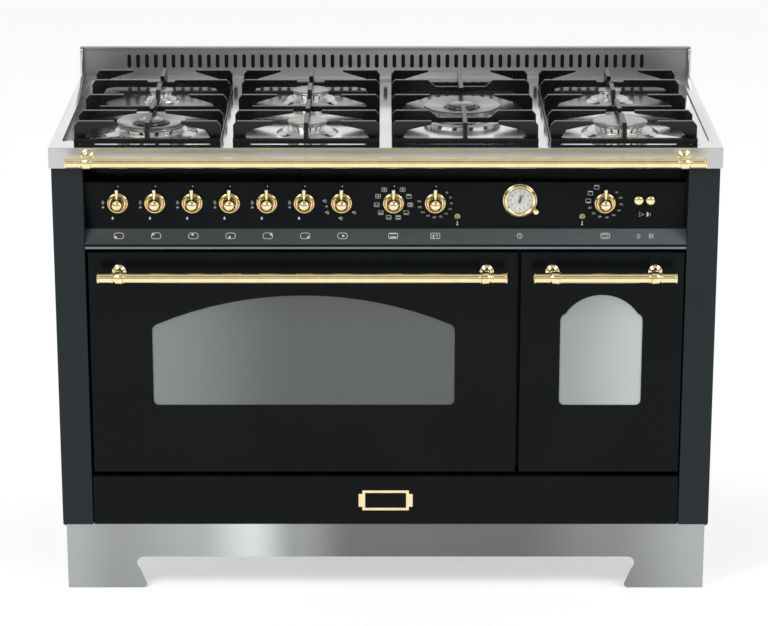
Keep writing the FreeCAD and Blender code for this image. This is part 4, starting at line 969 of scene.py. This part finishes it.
# %% Burners
ROWS = (
    (-426, 135, 62.5, 22.0, 66.0, 84.0, 30),
    (-426, 388, 23.0, 0.0, 28.0, 35.0, 11),
    (-142, 135, 36.5, 0.0, 46.0, 56.5, 12),
    (-142, 388, 35.5, 0.0, 46.0, 55.5, 12),
    (142, 262.5, 71.5, 22.5, 76.0, 88.0, 30),
    (426, 135, 50.0, 0.0, 59.5, 70.0, 13),
    (426, 388, 22.0, 0.0, 36.0, 47.5, 11),
)
FLOOR_Z = 846.0
CUP_Z = 851.0
HEAD_Z = 863.0
cups, heads, caps, sparks = [bmesh.new() for _ in range(4)]
for x, s, cap, inner, ring, collar, rib_pitch in ROWS:
    at = place(x, s, FLOOR_Z)
    slope = [(0.05, collar), (0.9, collar - 1.2), (2.0, collar - 4.2)]
    slope += [(4.2, ring + 1.8), (5.0, ring - 0.6), (5.0, cap * 0.55)]
    lathe(cups, slope, at, UP, 64)
    at = place(x, s, CUP_Z)
    lathe(heads, [(0, ring), (0.4, ring - 0.3), (0.7, ring - 1.4), (0.7, cap - 12)], at, UP, 64, SATIN)
    head_z = HEAD_Z if inner else HEAD_Z + 3
    crown(heads, x, s, cap - 7.5, cap - 2.6, CUP_Z + 0.7, head_z, rib_pitch)
    at = place(x, s, head_z)
    if inner:
        gap = inner + 11
        shell = [(0, cap - 2), (0.8, cap - 0.8), (3.4, cap), (5.2, cap - 0.5), (6.0, cap - 2.4), (5.4, cap - 5)]
        shell += [(1.6, gap + 5), (0, gap + 1), (-3, gap), (-8, gap - 1.4)]
        lathe(caps, shell, at, UP, 72)
        # The wall of the dished cap's opening, in painted shade.
        lathe(heads, [(-8, gap - 1), (-7.4, inner)], at, UP, 48, PAINTED_SHADE)
        crown(heads, x, s, inner - 4.5, inner - 2.4, CUP_Z + 4, HEAD_Z + 4.2, 9)
        small = [(4.2, inner - 1), (5.2, inner), (6.8, inner - 0.4), (8.6, inner - 3), (9.8, inner - 8), (10, 0)]
        lathe(caps, small, at, UP, 48)
    else:
        shell = [(-0.2, cap - 2.4), (0, cap - 1), (0.6, cap - 0.1), (1.4, cap)]
        shell += [(2.2, cap - 0.7), (2.7, cap - 2.6), (3.1, cap - 9), (3.2, 0)]
        lathe(caps, shell, at, UP, 64)
    turn = math.radians(215)
    reach = (cap + ring) / 2 + 1
    pin = place(x + reach * math.cos(turn), s + reach * math.sin(turn), CUP_Z)
    lathe(sparks, [(0, 0), (0, 2.2), (7.5, 2.2), (8.2, 1.6)], pin, UP, 16, 0)
    lathe(sparks, [(8.0, 0.9), (11.6, 0.8), (12, 0)], pin, UP, 12, 1)
settle(cups, "burner_collars", "cooker", ["collar_steel"], ("burner_cups",), angle=40)
crown_looks = ["aluminium", "port_brass", "painted_shade_dark", "satin_alloy"]
settle(heads, "burner_crowns", "cooker", crown_looks, ("burner_heads",), angle=30)
settle(caps, "burner_caps_turned", "cooker", ["cap_enamel"], ("burner_caps",), angle=40)
settle(sparks, "spark_pins", "cooker", ["ceramic", "raw_steel"], ("burner_cups",), angle=40)
print("burners:", len(ROWS))

# %% [markdown]
# The inside of the ovens is seen when the doors are down: enamelled walls, a braided seal, the grill element
# and the slotted fan cover. The shelf and its side racks are round wire: every wire is one spun rod, thick for
# the frame and thin for the grid that a dish stands on.

# %% Inside the ovens
SIDE_WIRE, FRAME_WIRE, GRID_WIRE = 2.4, 3.0, 1.9
GRID_PITCH = 27
LINER_WALL = 3


def rod(bm, x, s, z, way, length, radius):
    """A round wire from a place, along one way."""
    nose = radius * 0.3
    wire = [(0, 0), (0, radius - nose), (nose, radius), (length - nose, radius), (length, radius - nose)]
    lathe(bm, wire + [(length, 0)], place(x, s, z), way, 10)


racks_low, racks_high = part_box("oven_racks")
near = (racks_low.y - FRONT) / MM
far = (racks_high.y - FRONT) / MM
bottom, top = racks_low.z / MM, racks_high.z / MM
bm = bmesh.new()
for oven in ("main_oven_liner", "small_oven_liner"):
    dress(oven, "oven_enamel")
    low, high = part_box(oven)
    x0, x1 = low.x / MM + LINER_WALL, high.x / MM - LINER_WALL
    for x in (x0 + 2.5, x1 - 2.5):
        for s in (near + 12.5, far - 17.5):
            rod(bm, x, s, bottom, UP, top - bottom, SIDE_WIRE)
        for z in (bottom + 22.5, bottom + 82.5):
            rod(bm, x, near, z, -OUT, far - near, SIDE_WIRE)
    level = bottom + 88
    for s in (near + 3, far - 7):
        rod(bm, x0 + 0.5, s, level, X_WAY, x1 - x0 - 1, FRAME_WIRE)
    first, span = x0 + 13, x1 - x0 - 26
    wires = round(span / GRID_PITCH)
    for i in range(wires + 1):
        rod(bm, first + span * i / wires, near, level, -OUT, far - near - 4, GRID_WIRE)
settle(bm, "wire_racks", "cooker", ["chrome_wire"], ("oven_racks",), angle=40)
dress("oven_seals", "seal")
softened("oven_elements", "cooker", ["element"], 2.4)
dress("fan_unit", "works_steel")
dress("oven_fan", "raw_steel")
dress("levelling_feet", "raw_steel")
for i in range(1, 8):
    dress(f"gas_spindle_{i}", "raw_steel")
print("ovens dressed")

# %% [markdown]
# The studio floor is a plain pale sheet that shows white to the camera and in mirrors, yet keeps the shadow and
# lights the cooker only as pale paint would.

# %% Studio floor
FLOOR_GLOW = 0.40
bm = bmesh.new()
bmesh.ops.create_grid(bm, x_segments=1, y_segments=1, size=30.0)
floor_mesh = bpy.data.meshes.new("studio_floor")
bm.to_mesh(floor_mesh)
bm.free()
floor = bpy.data.objects.new("studio_floor", floor_mesh)
bpy.context.scene.collection.objects.link(floor)
paint, shader = finish("floor_paint", (0.80, 0.80, 0.80), 0.0, 0.9, Specular_IOR_Level=0.1)
rays = node(paint, "ShaderNodeLightPath")
seen, mirrored, glow = [node(paint, "ShaderNodeMath") for _ in range(3)]
seen.operation = mirrored.operation = "MAXIMUM"
glow.operation = "MULTIPLY"
glow.inputs[1].default_value = FLOOR_GLOW
link(paint, rays.outputs["Is Camera Ray"], seen.inputs[0])
link(paint, rays.outputs["Is Glossy Ray"], seen.inputs[1])
link(paint, seen.outputs["Value"], mirrored.inputs[0])
link(paint, rays.outputs["Is Transmission Ray"], mirrored.inputs[1])
link(paint, mirrored.outputs["Value"], glow.inputs[0])
shader.inputs["Emission Color"].default_value = (1, 1, 1, 1)
link(paint, glow.outputs["Value"], shader.inputs["Emission Strength"])
floor_mesh.materials.append(paint)
print("floor laid")

# %% [markdown]
# The sky is white behind the cooker, where the polished worktop mirrors it, and has a darker band in front, as in
# a real studio, so that polished brass has something dark to mirror. Two large soft lamps shape the front, the
# stronger one from the left.

# %% Sky and lamps
scene = bpy.context.scene
scene.view_settings.view_transform = "Standard"
sky = bpy.data.worlds.new("studio_sky")
scene.world = sky
sky.use_nodes = True
sky.node_tree.nodes["Background"].inputs["Strength"].default_value = 1.0
FRONT_TONES = [(0.0, 0.90), (0.10, 0.84), (0.17, 0.10), (0.30, 0.10), (0.37, 0.92)]
FRONT_TONES += [(0.56, 0.92), (0.62, 0.12), (0.76, 0.14), (0.86, 0.7), (1.0, 0.7)]
WALL_TONES = [(0.55, 1.0), (0.85, 0.55)]
where = node(sky, "ShaderNodeTexCoord")
apart = node(sky, "ShaderNodeSeparateXYZ")
front, wall = [ramp_of(sky, [(up, (tone,) * 3) for up, tone in tones]) for tones in (FRONT_TONES, WALL_TONES)]
behind = node(sky, "ShaderNodeMapRange", From_Min=-0.15, From_Max=0.25)
blend = node(sky, "ShaderNodeMixRGB")
link(sky, where.outputs["Generated"], apart.inputs["Vector"])
link(sky, apart.outputs["Z"], front.inputs["Fac"])
link(sky, apart.outputs["Z"], wall.inputs["Fac"])
link(sky, apart.outputs["Y"], behind.inputs["Value"])
link(sky, behind.outputs["Result"], blend.inputs["Fac"])
link(sky, front.outputs["Color"], blend.inputs["Color1"])
link(sky, wall.outputs["Color"], blend.inputs["Color2"])
link(sky, blend.outputs["Color"], sky.node_tree.nodes["Background"].inputs["Color"])

LAMP_SIZE = 1.6
LAMP_AIM = Vector((0, 0, 0.5))


def soft_lamp(name, stand, power):
    """A large square area lamp, aimed at the middle of the cooker."""
    lamp = bpy.data.lights.new(name, "AREA")
    lamp.shape = "RECTANGLE"
    lamp.size = lamp.size_y = LAMP_SIZE
    lamp.energy = power
    holder = bpy.data.objects.new(name, lamp)
    holder.location = stand
    holder.rotation_euler = (LAMP_AIM - Vector(stand)).to_track_quat("-Z", "Y").to_euler()
    scene.collection.objects.link(holder)


soft_lamp("key_lamp", (-2.2, -2.4, 3.2), 60)
soft_lamp("fill_lamp", (2.6, -1.8, 2.6), 36)
print("studio lit")

# %% [markdown]
# The photograph looks down on the hob from above and straight in front. The camera stands five metres away,
# two metres up, tilted down by seventeen degrees, with a long lens. Its focal length was measured in pixels of
# the photograph, so the sensor's width turns it into millimetres.

# %% Camera
camera_data = bpy.data.cameras.new("camera")
camera = bpy.data.objects.new("camera", camera_data)
scene.collection.objects.link(camera)
scene.camera = camera
SENSOR = 36.0
FOCAL_PIXELS = 2898
PICTURE_PIXELS = 768
TILT_DOWN = 17.21
camera_data.sensor_width = SENSOR
camera_data.lens = SENSOR * FOCAL_PIXELS / PICTURE_PIXELS
camera_data.clip_end = 100
camera.location = place(-3, -5000, 2092)
camera.rotation_euler = (math.radians(90 - TILT_DOWN), 0, 0)
print("lens", round(camera_data.lens, 1), "mm")
